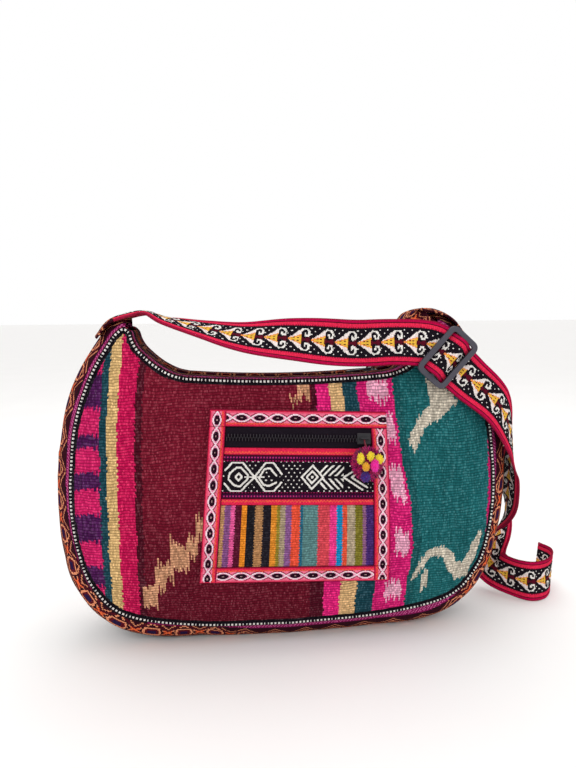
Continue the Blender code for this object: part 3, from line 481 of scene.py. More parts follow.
def striped(x, z):
    """Colours of the bag's cloth at places in mm."""
    thread = np.floor(x / 1.15)
    none = np.zeros_like(x)
    serrated = (0.30 * np.sign(wave(z, 4.8)) + 0.35 * np.sin(z / 7.3 + np.floor(x / 14))
                + 0.3 * np.sin(z / 3.1 + x / 40))
    feather = 10.0 * (hashed(thread, none) - 0.5)
    soft = 5.0 * (hashed(thread + 40, none) - 0.5)
    left = x - 0.075 * np.maximum(0, z - 195) + serrated
    right = x + serrated
    ragged = z + feather
    edges = [np.interp(z, EDGE_HEIGHTS, e) for e in RIGHT_EDGES]

    def grain(least, spread, length):
        return least + spread * hashed(thread, z / length)[..., None]

    low = 0.8 * share((150 - z) / 70)[..., None] * (x > -118)[..., None]
    out = WINE * (1 - low) + WINE_LOW * low
    for edge, colour in zip(LEFT_EDGES[::-1], (WINE_DARK, MAGENTA_LEFT, TAN, GREEN_DARK, DASH_MAGENTA)):
        out = pick(out, (left < edge, colour))
    dashes = left < LEFT_EDGES[0]
    for z0, z1 in PURPLE_BANDS:
        out = pick(out, (dashes & between(z + soft, z0, z1), PURPLE * grain(0.75, 0.5, 9)))
    for x0, x1, z0, z1 in WINE_PATCHES:
        patch = between(x, x0, x1) & between(ragged, z0 + 3, z1 - 3)
        out = pick(out, (patch, IKAT_TAN * grain(0.62, 0.5, 3.6)))
    for edge, colour in zip(edges, (WINE_DARK, MAGENTA_RIGHT, TAN_RIGHT, GREEN_DARK, MAGENTA_RIGHT * 0.85)):
        out = pick(out, (right > edge, colour))
    for z0, z1 in PINK_PATCHES:
        spot = between(right, edges[5] - 1, edges[6] + 1) & between(ragged, z0, z1)
        out = pick(out, (spot, PINK * grain(0.78, 0.3, 4.1)))
    teal = right > edges[7]
    shaded = np.where(x < edges[7] + 7, 0.75, 1.0)[..., None]
    grey = inside(x, z + 0.45 * feather, TEAL_UPPER) | inside(x, z + 0.45 * feather, TEAL_LOWER)
    grey |= between(x, 109, 114.5) & between(ragged, 44, 61)
    out = pick(out, (teal, TEAL * grain(0.86, 0.26, 14) * shaded),
               (teal & grey, IKAT_GREY * grain(0.70, 0.45, 3.9)),
               (right > 168.5 + 0.03 * (z - 100), MAGENTA_RIGHT * 0.7))
    return out * grain(0.95, 0.12, 5.2)


def from_seam(x, z):
    """Distance of places in mm from the seam outline."""
    line = ring(0.003)[0] / MM
    near = np.empty(x.shape)
    for k in range(len(x)):
        gap = np.hypot(x[k][:, None] - line[None, :, 0], z[k][:, None] - line[None, :, 1])
        near[k] = gap.min(axis=1)
    return near


def panel(name, side, step_x, step_z, node):
    """One half-moon panel with a slight pucker along its seam."""
    x = np.linspace(-PANEL_REACH, PANEL_REACH, int(2 * SEAM_HALF_WIDTH / step_x))
    low, high = lower(x) + PANEL_INSET, upper(x) - PANEL_INSET
    x, t = np.broadcast_arrays(x, np.linspace(0, 1, int(0.245 / step_z))[:, None])
    z = low + (high - low) * t
    near = np.minimum(z - low, high - z)
    pucker = np.exp(-near / 0.010) * np.sin((x + 0.6 * z) / 0.0024)
    drift = np.sin(x * 31 + 1.7) * np.sin(z * 27 + x * 12) + 0.5 * np.sin(x * 74 - z * 45)
    ribs = 0.00013 * np.cos(2 * pi * z / 0.0032)
    depth = (seam_half_depth(z) + belly(x, t) + 0.00025 * pucker
             + 0.0005 * drift * share(near / 0.02) + ribs)
    places = cell(x) / MM, cell(z) / MM
    # The panels' last few mm by the seam are painted black: the piping's black seam allowance and painted
    # shade beside the cord.
    colours = pick(striped(*places), (from_seam(*places) < SEAM_BLACK_AND_SHADE, BLACK))
    surface(name, x, side * depth, z, colours, x / MM, z / MM, "handwoven", node, side > 0)


# Side belt

def belt_colours(u, d, shift):
    """Pattern of the side belt: u along it, d in from the nearer seam."""
    a = abs(d + shift - 19.0)
    middle = BELT_REPEAT / 2
    x = abs((u % BELT_REPEAT) - middle)
    lattice = 8.2 * (1 - x / middle)
    beyond = a - lattice
    eye = np.maximum(a / 4.8, (x + 0.30 * a) / 7.4)
    edge = 5.8 - 0.40 * shift
    dashes = ((u + 1.1 * d) % 2.7 < 0.95) & between(d, 1.5, edge - 0.6)
    return pick(BELT_GROUND, (abs(beyond - 1.9) < 0.9, lin(86, 14, 30)),
                (abs(beyond - 4.2) < 0.50, SALMON * 0.85), (abs(beyond) < 0.62, SALMON),
                ((abs(beyond) < 1.0) & (lattice < 2.2), ORANGE), ((a < 0.9) & (x > 11.6), ORANGE),
                (eye < 1.18, BELT_GROUND), (eye < 1.0, SALMON), (eye < 0.77, lin(92, 14, 30)),
                (eye < 0.46, INDIGO * 0.7), (d < edge + 0.9, BLACK), (d < edge, lin(138, 20, 84)),
                (dashes, lin(214, 104, 164)), (d < 1.1, BLACK))


def belt_shift(u):
    """How far the pattern runs out towards the seam: most at the lower corners."""
    left = np.interp(-u, (0, 30, 70, 170, 215, 250, 300, 340), (-3, -3, 8, 8.5, 4.5, 1, 0, 3))
    right = np.interp(u, (0, 120, 150, 235, 270, 300, 340), (-3, -3, 8.5, 8, 2, 0, 3))
    return np.where(u < 0, left, right)


def belt():
    """The side belt from horn to horn."""
    points, normal, along = ring(0.00096)
    tip = along[np.argmin(abs(points[:, 0] - HORN_REACH) + 10 * (points[:, 1] < 0.262))]
    keep = abs(along) <= tip
    points, normal, along = points[keep], normal[keep], along[keep]
    v = np.linspace(0, 1, 92)
    half = seam_half_depth(points[:, 1])[:, None] - PANEL_INSET
    corner = np.sin(share((abs(along) / MM - 75) / 120) * pi)
    arch = 1 - abs(2 * v - 1) ** (2.4 + 1.0 * corner[:, None])
    slack = 0.0062 * np.exp(-((points[:, 1] - 0.150) / 0.055) ** 2) * (points[:, 0] < 0)
    lift = (crown(points[:, 1]) + 0.003 * corner - slack)[:, None] * arch
    wrinkle = 0.0004 * np.sin(along[:, None] * 95 + 3 * v) * np.sin(pi * v) ** 2
    x, z = raised(points, normal, lift + wrinkle * (points[:, 1] > 0.05)[:, None])
    u = np.broadcast_to(along[:, None] / MM, x.shape)
    colours = belt_colours(cell(u), cell(np.minimum(v, 1 - v) * 2.24 * half / MM), belt_shift(cell(u)))
    surface("belt_cloth", x, 2 * half * v - half, np.maximum(z, 0.0), colours, v * 79, u, "belt",
            "gusset_belt")


def piping(end, side):
    """Corded piping with light ladder stitches across it."""
    points, normal, along = ring(0.00078)
    angles = np.linspace(0, 2 * pi, 17)[:-1]
    facing, outward = np.cos(angles), np.sin(angles)
    stitch = ((along / MM) % 3.0 < 1.3)[:, None]
    white = (facing > 0.9) & (outward < 0.1)
    radius = PIPING_RADIUS + 0.00022 * (stitch & white) - 0.00008 * ~white
    y = side * (seam_half_depth(points[:, 1])[:, None] + radius * facing)
    x, z = raised(points, normal, radius * outward)
    u, v = np.broadcast_arrays(angles * 2.2, along[:, None] / MM)
    rows, columns = len(x) - 1, len(angles)
    last, c = (rows - 1) * columns, np.arange(columns)
    join = np.stack([last + c, last + (c + 1) % columns, (c + 1) % columns, c], 1)
    faces = np.vstack([grid_faces(rows, columns, wrap=True), join])
    colours = pick(BLACK, (stitch & (outward > 0.55), lin(120, 30, 50)), (stitch & white, WHITE))
    mesh_object("piping_cord_" + end, np.stack([x, y, z], -1)[:-1],
                faces[:, ::-1] if side > 0 else faces, colours[:-1], np.stack([u, v], -1)[:-1],
                LOOKS["cord"], nodes=("piping_" + end,))


def placket(end, side):
    """Strip of the belt's cloth beside the main zip."""
    x = np.linspace(-PLACKET_REACH, PLACKET_REACH, 280)
    points = np.stack([x, upper(x)], 1)
    tangent = unit(np.gradient(points, axis=0))
    normal = np.stack([-tangent[:, 1], tangent[:, 0]], 1)
    past = share((abs(x) - MAIN_ZIP_HALF) / (PLACKET_CLOSE - MAIN_ZIP_HALF))
    mouth = PLACKET_MOUTH + (0.00015 - PLACKET_MOUTH) * past
    outer = seam_half_depth(points[:, 1]) - PANEL_INSET
    marks = np.concatenate([np.linspace(0, 0.96, 26), [1.0, 1.0]])
    rise = np.interp(np.arange(28) / 27, (0, 0.08, 0.2, 0.35, 0.6, 0.85, 0.93, 0.965, 1),
                     (0, 0.55, 0.85, 0.97, 1.01, 1.06, 1.0, 0.85, 0.45))
    y = outer[:, None] + (mouth - outer)[:, None] * marks
    x = x[:, None]
    lift = PLACKET_RISE * rise + 0.0003 * np.sin(x * 160) * np.sin(pi * marks)
    px, pz = raised(points, normal, lift)
    edge, run = (cell(a) for a in np.broadcast_arrays(marks, x / MM))
    shade = np.where(edge > 0.34, 0.42, 0.80)[..., None]
    colours = belt_colours(run, 24 * edge, np.full(edge.shape, -2.0)) * shade
    surface("placket_cloth_" + end, px, side * y, pz, colours, x / MM, y / MM, "fine",
            "placket_" + end, side < 0)


def zip_parts():
    """Main zip: two tapes and the coil's teeth in one arc."""
    radius = TOP_ARC_RADIUS
    centre = TOP_EDGE_HEIGHT + radius
    level = PLACKET_THICK - PLACKET_RISE + SEAM_GAP
    turn = np.linspace(-MAIN_ZIP_HALF, MAIN_ZIP_HALF, 150)[:, None] / radius
    reach = radius + level + np.array([TAPE_THICK, 0, 0, 0, 0, 0, 0])
    x, z = np.sin(turn) * reach, centre - np.cos(turn) * reach
    for name, side in (("main_zip_tape_front", -1), ("main_zip_tape_rear", 1)):
        y = side * np.array([0.0031, 0.0031, 0.0045, 0.0075, 0.0105, 0.0135, 0.0152])
        surface(name + "_cloth", x, y, z, BLACK * 1.3, x / MM, y / MM, "fine", name, side < 0)
    places = []
    drop = radius + level + 0.0004
    for angle in np.arange(-MAIN_ZIP_HALF + 0.001, MAIN_ZIP_HALF - 0.0005, COIL_PITCH) / radius:
        p = Vector((sin(angle) * drop, 0.0, centre - cos(angle) * drop))
        places.append(Matrix.Translation(p) @ Matrix.Rotation(-angle, 4, "Y"))
    teeth("main_zip_teeth", places, "main_zip_coil")


def teeth(name, places, node):
    """Interlocked coil turns, each a small rounded bar, left and right."""
    tooth = bmesh.new()
    bmesh.ops.create_cube(tooth, size=1, matrix=Matrix.Diagonal((0.00078, 0.0034, 0.0017, 1)))
    bmesh.ops.bevel(tooth, geom=tooth.edges[:], offset=0.0003, segments=1, affect="EDGES")
    tooth.faces.ensure_lookup_table()
    bmesh.ops.triangulate(tooth, faces=tooth.faces)
    base = np.array([tuple(v.co) for v in tooth.verts])
    tris = np.array([[v.index for v in f.verts] for f in tooth.faces])
    tooth.free()
    verts, faces = [], []
    for k, place in enumerate(places):
        matrix = np.array(place)
        faces.append(tris + len(base) * k)
        verts.append((base + (0, 0.00125 if k % 2 else -0.00125, 0)) @ matrix[:3, :3].T + matrix[:3, 3])
    mesh_object(name, np.vstack(verts), np.vstack(faces), look=LOOKS["coil"], nodes=(node,))


# Patch pocket

def pocket_place(u, w):
    """x and z of a place u across and w up from the pocket's middle."""
    run, rise = cos(POCKET_TILT), sin(POCKET_TILT)
    return POCKET_X + run * u + rise * w, POCKET_Z - rise * u + run * w


def pocket_half_width(w):
    t = np.asarray(w) / POCKET_HEIGHT + 0.5
    return (POCKET_BOTTOM_WIDTH + (POCKET_TOP_WIDTH - POCKET_BOTTOM_WIDTH) * t) / 2


def pocket_face(w):
    """Depth of the bag's cloth behind the pocket at heights w."""
    reach = pocket_half_width(w)
    found = [front_depth(*pocket_place(k * reach, w)) for k in (-1, -0.5, 0, 0.5, 1)]
    return np.max(found, axis=0) + POCKET_STANDOFF


def slab(name, span, low, high, proud, thick, paint, look, node, cell_u=0.6, cell_w=0.6, puff=0.0004,
         swap=False):
    """A cloth piece of the pocket with soft edges and a painted face.

    span gives each end as a multiple of the pocket's half width and an
    inset. paint is a colour or a function of u, w and the half width in mm.
    """
    (a, start), (b, end) = span
    width = (b - a) * pocket_half_width((low + high) / 2) + end - start
    columns, rows = max(6, int(width / MM / cell_u)), max(6, int((high - low) / MM / cell_w))
    k, r = (np.concatenate([[0, 0], np.linspace(0, 1, n + 1), [1, 1]]) for n in (columns, rows))
    w = np.broadcast_to((low + (high - low) * r)[:, None], (len(r), len(k)))
    half = pocket_half_width(w)
    left, right = a * half + start, b * half + end
    u = left + (right - left) * k
    tuck = np.zeros(u.shape, bool)
    tuck[[0, -1]] = tuck[:, [0, -1]] = True
    inner = np.minimum(np.minimum(u - left, right - u), np.minimum(w - low, high - w))
    round_off = 0.0008 * share(1 - inner / 0.0012) ** 2
    depth = pocket_face(w) + proud
    depth += np.where(tuck, -thick, puff * share(inner / 0.004) - round_off)
    x, z = pocket_place(u, w)
    if callable(paint):
        paint = paint(cell(u) / MM, cell(w) / MM, cell(half) / MM)
    across, along = (w, u) if swap else (u, w)
    surface(name, x, -depth, z, paint, across / MM, along / MM, look, node)


def braid_colours(s, t, pitch):
    """Chain of white-edged eyes: s along the braid, t from its outer edge."""
    a = abs(t - 6.0)
    phase = (s / pitch + 0.5) % 1 - 0.5
    eye = 3.0 * np.cos(pi * phase) ** 0.9
    core = 2.25 * np.sqrt(share(1 - (phase / 0.31) ** 2))
    return pick(lin(246, 122, 152),
                ((abs(a - eye - 1.05) < 0.45), lin(140, 12, 56)), (a < eye, lin(240, 150, 182)),
                (a < core, lin(40, 10, 28)), (abs(a - eye) < 0.52, lin(252, 226, 236)),
                ((a < 0.5) & (abs(phase) * pitch < 0.8), lin(186, 150, 150)),
                (t < 2.4, CORAL), (t < 1.5, RED), (t < 0.7, CRIMSON), (t > 9.6, RED),
                (abs(t - 10.5 - 0.6 * wave(s, 2.8)) < 0.34, ORANGE), (t > 12.2, CRIMSON))


def corner_colours(u, w, half, rise, start, ends):
    """A level braid whose ends carry the upright braids' pattern through."""
    out = braid_colours(u + start, rise, LEVEL_PITCH)
    for side in ends:
        inward = half - side * u
        out = pick(out, (inward < BRAID_WIDTH / MM, braid_colours(w + 3.0 + side, inward, UPRIGHT_PITCH)))
    return pick(out, (rise < 1.5, RED), (rise < 0.7, CRIMSON))


def edging_colours(u, t):
    """Narrow edging with an orange zigzag and dashes, t from its outer edge."""
    return pick(RED, (abs(t - 3.3 - 0.7 * wave(u, 2.6)) < 0.36, ORANGE),
                (t > 4.7, MAROON * 0.8), (t > 5.9, lin(60, 16, 52)),
                (between(t, 6.6, 8.1) & (u % 2.4 < 0.9), lin(190, 50, 120)))


def stroke(s, t, points, width):
    """Mask of a line through points."""
    best = np.full(s.shape, 1e9)
    for (x0, y0), (x1, y1) in zip(points, points[1:]):
        dx, dy = x1 - x0, y1 - y0
        k = share(((s - x0) * dx + (t - y0) * dy) / (dx * dx + dy * dy))
        best = np.minimum(best, np.hypot(s - x0 - k * dx, t - y0 - k * dy))
    return best < width / 2


KNOT = (((1.5, -5.2), (6.8, -11), (15.2, -11), (25, 0), (34, 11), (41, 11), (46.7, 4.3)),
        ((1.5, 5.1), (6.8, 11), (14.8, 11), (25, 0), (33.3, -11), (39.7, -11), (46.7, -2.4)),
        ((4.5, 0.3), (5.3, -2.9), (10.6, -7.4), (14, -7.4), (19.7, -1.3)),
        ((4.5, 1.9), (9.8, 6.7), (14, 7.4), (19.7, 1.3)),
        ((10, 0), (12.5, -2.6), (15, 0), (12.5, 2.6), (10, 0)),
        ((28.8, 0.3), (32.6, -6.2), (37, -7.0), (42.4, -1.3)),
        ((28.8, 1.1), (32.6, 6.0), (37, 7.0), (42.4, 4.3)), ((17.5, 0), (32.5, 0)))
FISH = (((62.9, 0), (71.4, -9.2), (80.3, 0), (71.4, 9.2), (62.9, 0)),
        ((67.0, 0), (71.4, -4.8), (76, 0), (71.4, 4.8), (67.0, 0)),
        ((97, 0), (113, -9.8)), ((97, 0), (113, 9.8)), ((103.5, 0), (117, -8)), ((103.5, 0), (117, 8)))


def motif_colours(u, s, t):
    """Black band with a white knot, a fish and dots between them."""
    line = np.zeros(s.shape, bool)
    near = between(s, 64, 100) & (abs(t) < 10.6)
    for points in KNOT + FISH:
        line |= stroke(s, t, points, 1.45)
        near |= stroke(s, t, points, 5.0)
    body = between(s, 78, 97) & (abs(t) < 9.6) & (s - abs(t) > 70)
    line |= body & (((s - abs(t)) % 5.2) < 2.1) & (abs(t) > 0.8)
    line |= (abs(s - 71.4) < 0.9) & (abs(t) < 0.9)
    row = np.floor((t + 30) / 2.9)
    dots = ((t + 30) % 2.9 < 1.05) & ((s + 2.25 * (row % 2)) % 4.5 < 1.1)
    edge = abs(t) > 11.9
    return pick(BLACK, (dots & ~near, WHITE), (line, WHITE), (edge, MAROON * 0.8),
                (edge & (u % 2.4 < 0.9), BAND_MAGENTA))


# Edges of the pocket cloth's stripes in 1205ths of its width, and their tones
CLOTH_BOUNDS = (0, 30, 80, 112, 162, 202, 265, 325, 390, 435, 460, 500, 548, 618, 640, 758, 850,
                905, 955, 990, 1055, 1115, 1140, 1205)
CLOTH_TONES = ((186, 140, 96), (128, 76, 128), (226, 88, 150), (88, 18, 44), (232, 138, 38),
               (30, 28, 34), (176, 128, 84), (32, 28, 36), (226, 142, 46), (146, 128, 44),
               (168, 150, 124), (136, 88, 142), (238, 84, 58), (40, 104, 130), (92, 134, 134),
               (216, 72, 84), (242, 60, 140), (20, 140, 196), (226, 84, 58), (176, 158, 132),
               (124, 116, 40), (140, 92, 130), (70, 42, 110))


def striped_cloth_colours(u, w, reach):
    """Bright narrow stripes of the pocket's lower cloth."""
    t = (u + reach) / (2 * reach) + 0.0022 * np.sign(wave(w, 2.4))
    place = np.clip(t * CLOTH_BOUNDS[-1], 0, CLOTH_BOUNDS[-1] - 0.1)
    tones = np.array([lin(*tone) for tone in CLOTH_TONES])
    tones = tones[np.searchsorted(CLOTH_BOUNDS, place, side="right") - 1]
    return tones * (0.85 + 0.3 * hashed(u / 1.1, w / 2.4))[..., None]


def pocket():
    """The pocket's pieces from the zip down, and the braid round them."""
    top, bottom = POCKET_HEIGHT / 2, -POCKET_HEIGHT / 2
    inset = BRAID_WIDTH + SEAM_GAP
    level, inner_bottom = top - BRAID_WIDTH - SEAM_GAP, bottom + BRAID_WIDTH + SEAM_GAP
    front = TAPE_THICK + SEAM_GAP + POCKET_CLOTH
    proud = TAPE_THICK + SEAM_GAP + BRAID_THICK
    full, inner = ((-1, 0), (1, 0)), ((-1, inset), (1, -inset))
    slab("pocket_lining_cloth", ((-1, 0.003), (1, -0.003)), bottom + 0.003, top - 0.003, TAPE_THICK,
         TAPE_THICK, INK, "fine", "pocket_backing", 4, 4, 0)
    for name, span, low, high, swap, paint in (
            ("top", full, top - BRAID_WIDTH, top, True,
             lambda u, w, half: corner_colours(u, w, half, top / MM - w, 3.2, (-1,))),
            ("bottom", full, bottom, bottom + BRAID_WIDTH, True,
             lambda u, w, half: corner_colours(u, w, half, w - bottom / MM, 1.0, (-1, 1))),
            ("left", ((-1, 0), (-1, BRAID_WIDTH)), inner_bottom, level, False,
             lambda u, w, half: braid_colours(w + 2.0, u + half, UPRIGHT_PITCH)),
            ("right", ((1, -BRAID_WIDTH), (1, 0)), inner_bottom, level, False,
             lambda u, w, half: braid_colours(w + 4.0, half - u, UPRIGHT_PITCH))):
        slab("braid_" + name, span, low, high, proud, BRAID_THICK, paint, "braid",
             "pocket_braid_" + name, swap=swap)
    slab("pocket_tape", inner, level - POCKET_ZIP_HEIGHT, level, TAPE_THICK + SEAM_GAP + TAPE_THICK,
         TAPE_THICK, BLACK * 1.25, "fine", "pocket_zip_tape", 1.2, 1.0, 0)
    level -= POCKET_ZIP_HEIGHT + SEAM_GAP
    for name, node, height, size, paint in (
            ("zip_edge", "pocket_zip_edging", ZIP_EDGING, 0.6,
             lambda u, w, half: edging_colours(u, level / MM - w)),
            ("motif_cloth", "pocket_motif_band", MOTIF_HEIGHT, 0.5,
             lambda u, w, half: motif_colours(u, u + half - inset / MM, level / MM - w - 13.0)),
            ("lower_edge", "pocket_lower_edging", LOWER_EDGING, 0.6,
             lambda u, w, half: edging_colours(u, w - (level - LOWER_EDGING) / MM))):
        slab(name, inner, level - height, level, front, POCKET_CLOTH, paint, "braid", node, size, size)
        level -= height + SEAM_GAP
    slab("stripe_cloth", inner, inner_bottom, level, front, POCKET_CLOTH,
         lambda u, w, half: striped_cloth_colours(u, w, half - inset / MM), "stripes",
         "pocket_striped_cloth", 0.7, 1.0)


def pocket_zip():
    """Coil of the pocket zip as two rows of turns."""
    low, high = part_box("pocket_zip_coil")
    x = Vector((cos(POCKET_TILT), 0, -sin(POCKET_TILT)))
    up = Vector((sin(POCKET_TILT), 0, cos(POCKET_TILT)))
    turn = Matrix((x, up, x.cross(up))).transposed().to_4x4()
    middle = (Vector(low) + Vector(high)) / 2
    reach = (high[0] - low[0]) / 2 - 0.001
    places = [Matrix.Translation(middle + x * s) @ turn for s in np.arange(-reach, reach, COIL_PITCH)]
    teeth("pocket_zip_teeth", places, "pocket_zip_coil")


# Strap and the band that holds the adjuster

# Rows of a band's middle, the way across it and its bow, lengths in mm
SLANT = 0.669, 0, 0.743      # the way across a band in the adjuster
STRAP_ROUTE = (
    (-157.3, 0, 261.4, 0, 1, 0, 3.5), (-146.7, 0, 273.8, 0, 1, 0, 3.5),
    (-128.9, 0, 280, 0, 1, 0, 3.5), (-114.9, -1, 280.5, 0, 1, 0, 2),
    (-98.9, -6, 274.5, -0.098, 0.979, 0.176, 1), (-68.9, -17, 266.5, -0.1, 0.928, 0.359, 0),
    (-35.9, -27, 260, 0, 0.8, 0.6, 0), (4.1, -36, 257.5, 0, 0.479, 0.878, 0),
    (50, -40, 253.7, 0, 0, 1, 0), (85, -41.5, 254.2, 0.078, 0.196, 0.978, 0),
    (108.5, -41.5, 253.2, 0.399, 0, 0.917, 0), (119.3, -41.4, 250.8, *SLANT, 0),
    (122.4, -41.4, 248, *SLANT, 0), (125.4, -45.4, 245.3, *SLANT, 0),
    (128.4, -49.3, 242.6, *SLANT, 0), (131.6, -49.3, 239.8, *SLANT, 0),
    (134.6, -45.4, 237.1, *SLANT, 0), (137.6, -41.4, 234.4, *SLANT, 0),
    (140.7, -41.4, 231.6, *SLANT, 0), (151, -41.4, 222.3, 0.605, 0.106, 0.789, 0),
    (178, -40, 199, 0.674, 0.435, 0.598, 1), (198, -24, 166, 0.499, 0.848, 0.18, 1),
    (205.8, -8, 138, 0.1, 0.995, 0, 0), (209.5, 0, 112, 0.02, 1, 0, 0),
    (212.5, 8.5, 94, 0.254, 0.967, 0, 0), (214, 18, 78, 0.622, 0.783, 0, 0),
    (215, 35, 50, 0.974, 0.201, 0.1, 0), (212, 40, 31.5, 0.861, 0.051, 0.506, 0),
    (213.5, 33, 22.5, 0.242, 0.048, 0.969, 0), (223, 17, 20, -0.05, 0.119, 0.992, 0),
    (236, 4, 20, 0, 0.1, 0.995, 0), (252, 6, 20, 0, 0.08, 0.997, 0),
    (266, 19, 20, 0, -0.04, 0.999, 0), (273, 35, 20, 0.099, -0.05, 0.994, 0),
    (269, 50, 20, 0.1, 0, 0.995, 0))
TAB_ROUTE = (
    (157.3, 0, 261.4, 0, -1, 0, 3.5), (147.1, 0, 273.4, 0, -1, 0, 3.5),
    (133.6, 0, 280.3, 0, -1, 0, 3.5), (121.6, 0, 281.1, 0, -1, 0, 2),
    (112.1, -1, 278.8, 0, -1, 0, 1), (107.1, -5, 272.3, 0.243, -0.97, 0, 0),
    (106.1, -16, 265.3, 0.732, -0.646, 0.215, 0), (109.6, -26, 258.8, 0.649, -0.243, 0.721, 0),
    (120.7, -36.9, 249.6, *SLANT, 0), (124.4, -38.7, 246.2, *SLANT, 0),
    (127.8, -41.1, 243.2, *SLANT, 0), (130, -41.7, 241.2, *SLANT, 0),
    (131.6, -42, 239.8, *SLANT, 0), (132.3, -43.2, 239.1, *SLANT, 0),
    (132.3, -45.8, 239.1, *SLANT, 0), (131.6, -47, 239.8, *SLANT, 0),
    (130, -47.3, 241.2, *SLANT, 0))


HOOK = ((9.0, 6.4), (13.2, 9.2), (16.4, 8.9), (18.0, 6.6), (17.6, 3.6), (15.4, 2.9), (14.6, 5.2))


def strap_colours(s, t):
    """The strap's arrowheads, under the belt's cloth where it is sewn on."""
    return np.where((s < SEWN_END)[..., None], tab_colours(s, t), arrow_colours(s, t))


def arrow_colours(s, t):
    """Arrowheads with curled hooks on black, between red edges."""
    a = abs(t)
    q = s % ARROW_REPEAT
    row = np.floor((a + 0.9) / 2.6)
    dots = ((a + 0.9) % 2.6 < 0.95) & ((s + 3.17 * (row % 2)) % 6.333 < 1.05)
    head = (a < 0.74 * q) & (q < 11.2 + 0.12 * a)
    clear = (a < 0.74 * q + 1.6) & (q < 13.2) | stroke(q, a, HOOK, 4.4)
    cross = abs(a - 0.55 * abs(q - 14.2)) < 0.75
    gold = head & (a < 0.34 * q + 0.4)
    ticks = gold & (abs(a - 1.35) < 0.6) & ((abs(q - 5.4) < 0.9) | (abs(q - 8.6) < 0.9))
    return pick(BLACK, (dots & ~clear, WHITE),
                (cross & (a < 2.6) & ((q > 11) | (q < 1)), MAROON), ((a < 0.8) & (q > 11), MAROON),
                (stroke(q, a, HOOK, 1.5), WHITE), (head, lin(244, 230, 226)), (gold, YELLOW),
                (gold & (abs(a - 0.34 * q) < 0.5), lin(246, 150, 80)), (ticks, MAROON),
                (a > 12.0, RED), (between(a, 12.0, 12.8) & (s % 1.6 < 0.8), CRIMSON),
                (between(a, 15.7, 16.4), MAROON), (a > 16.4, lin(188, 8, 70)), (a > 18.3, CRIMSON * 0.8))


def tab_colours(s, t):
    """The side belt's own pattern on the band over the right horn."""
    return belt_colours(s + 6.0, 27.0 - abs(t), np.zeros(s.shape))


def ribbon(name, route, width, paint, look, node):
    """A woven band with a soft selvedge and both faces patterned."""
    route = np.array(route) * ([MM] * 3 + [1] * 3 + [MM])
    knots = [smooth(route[:, columns], 16) for columns in (slice(0, 3), slice(3, 6), slice(5, 7))]
    dense = travelled(knots[0])
    s = np.linspace(0, dense[-1], int(dense[-1] / 0.00088))
    centres, sides, bows = (resampled(knot, dense, s) for knot in knots)
    run = unit(np.gradient(centres, axis=0))
    sides = unit(sides - run * np.sum(sides * run, axis=1)[:, None])
    out = np.cross(run, sides)
    t = np.linspace(-1, 1, 45)
    lip = share((1 - abs(t)) / 0.04) ** 0.5
    rows = []
    for sign in (1, -1):
        order = t * sign
        rise = sign * WEBBING_THICK / 2 * (0.45 + 0.55 * lip)
        ridge = sign * 0.00012 * np.cos(2 * pi * order * width / 2 / 0.0045)
        offset = rise + ridge - bows[:, 1:] * order ** 2
        rows.append(centres[:, None, :] + sides[:, None, :] * (order * width / 2)[None, :, None]
                    + out[:, None, :] * offset[:, :, None])
    verts = np.concatenate(rows, axis=1)
    faces = grid_faces(*verts.shape[:2], wrap=True)[:, ::-1]
    place_t = np.concatenate([t, -t]) * width / 2 / MM
    middle_t = (place_t + np.roll(place_t, -1)) / 2
    middle_s = (s[1:] + s[:-1]) / 2 / MM
    colours = paint(*np.meshgrid(middle_s, middle_t, indexing="ij"))
    uv = np.stack(np.broadcast_arrays(place_t[None, :], s[:, None] / MM), -1)
    thing = mesh_object(name, verts, faces, colours, uv, LOOKS[look], nodes=(node,))
    ends = bmesh.new()
    ends.from_mesh(thing.data)
    bmesh.ops.holes_fill(ends, edges=[e for e in ends.edges if len(e.link_faces) == 1])
    ends.to_mesh(thing.data)
    ends.free()
    return thing, float(s[-1])


def straps():
    """The strap and the belt's end round the adjuster."""
    strap, length = ribbon("shoulder_strap", STRAP_ROUTE, 0.038, strap_colours, "strap", "strap")
    tab, length = ribbon("adjuster_tab", TAB_ROUTE, 0.0375, tab_colours, "belt", "buckle_tab")


# Pompoms

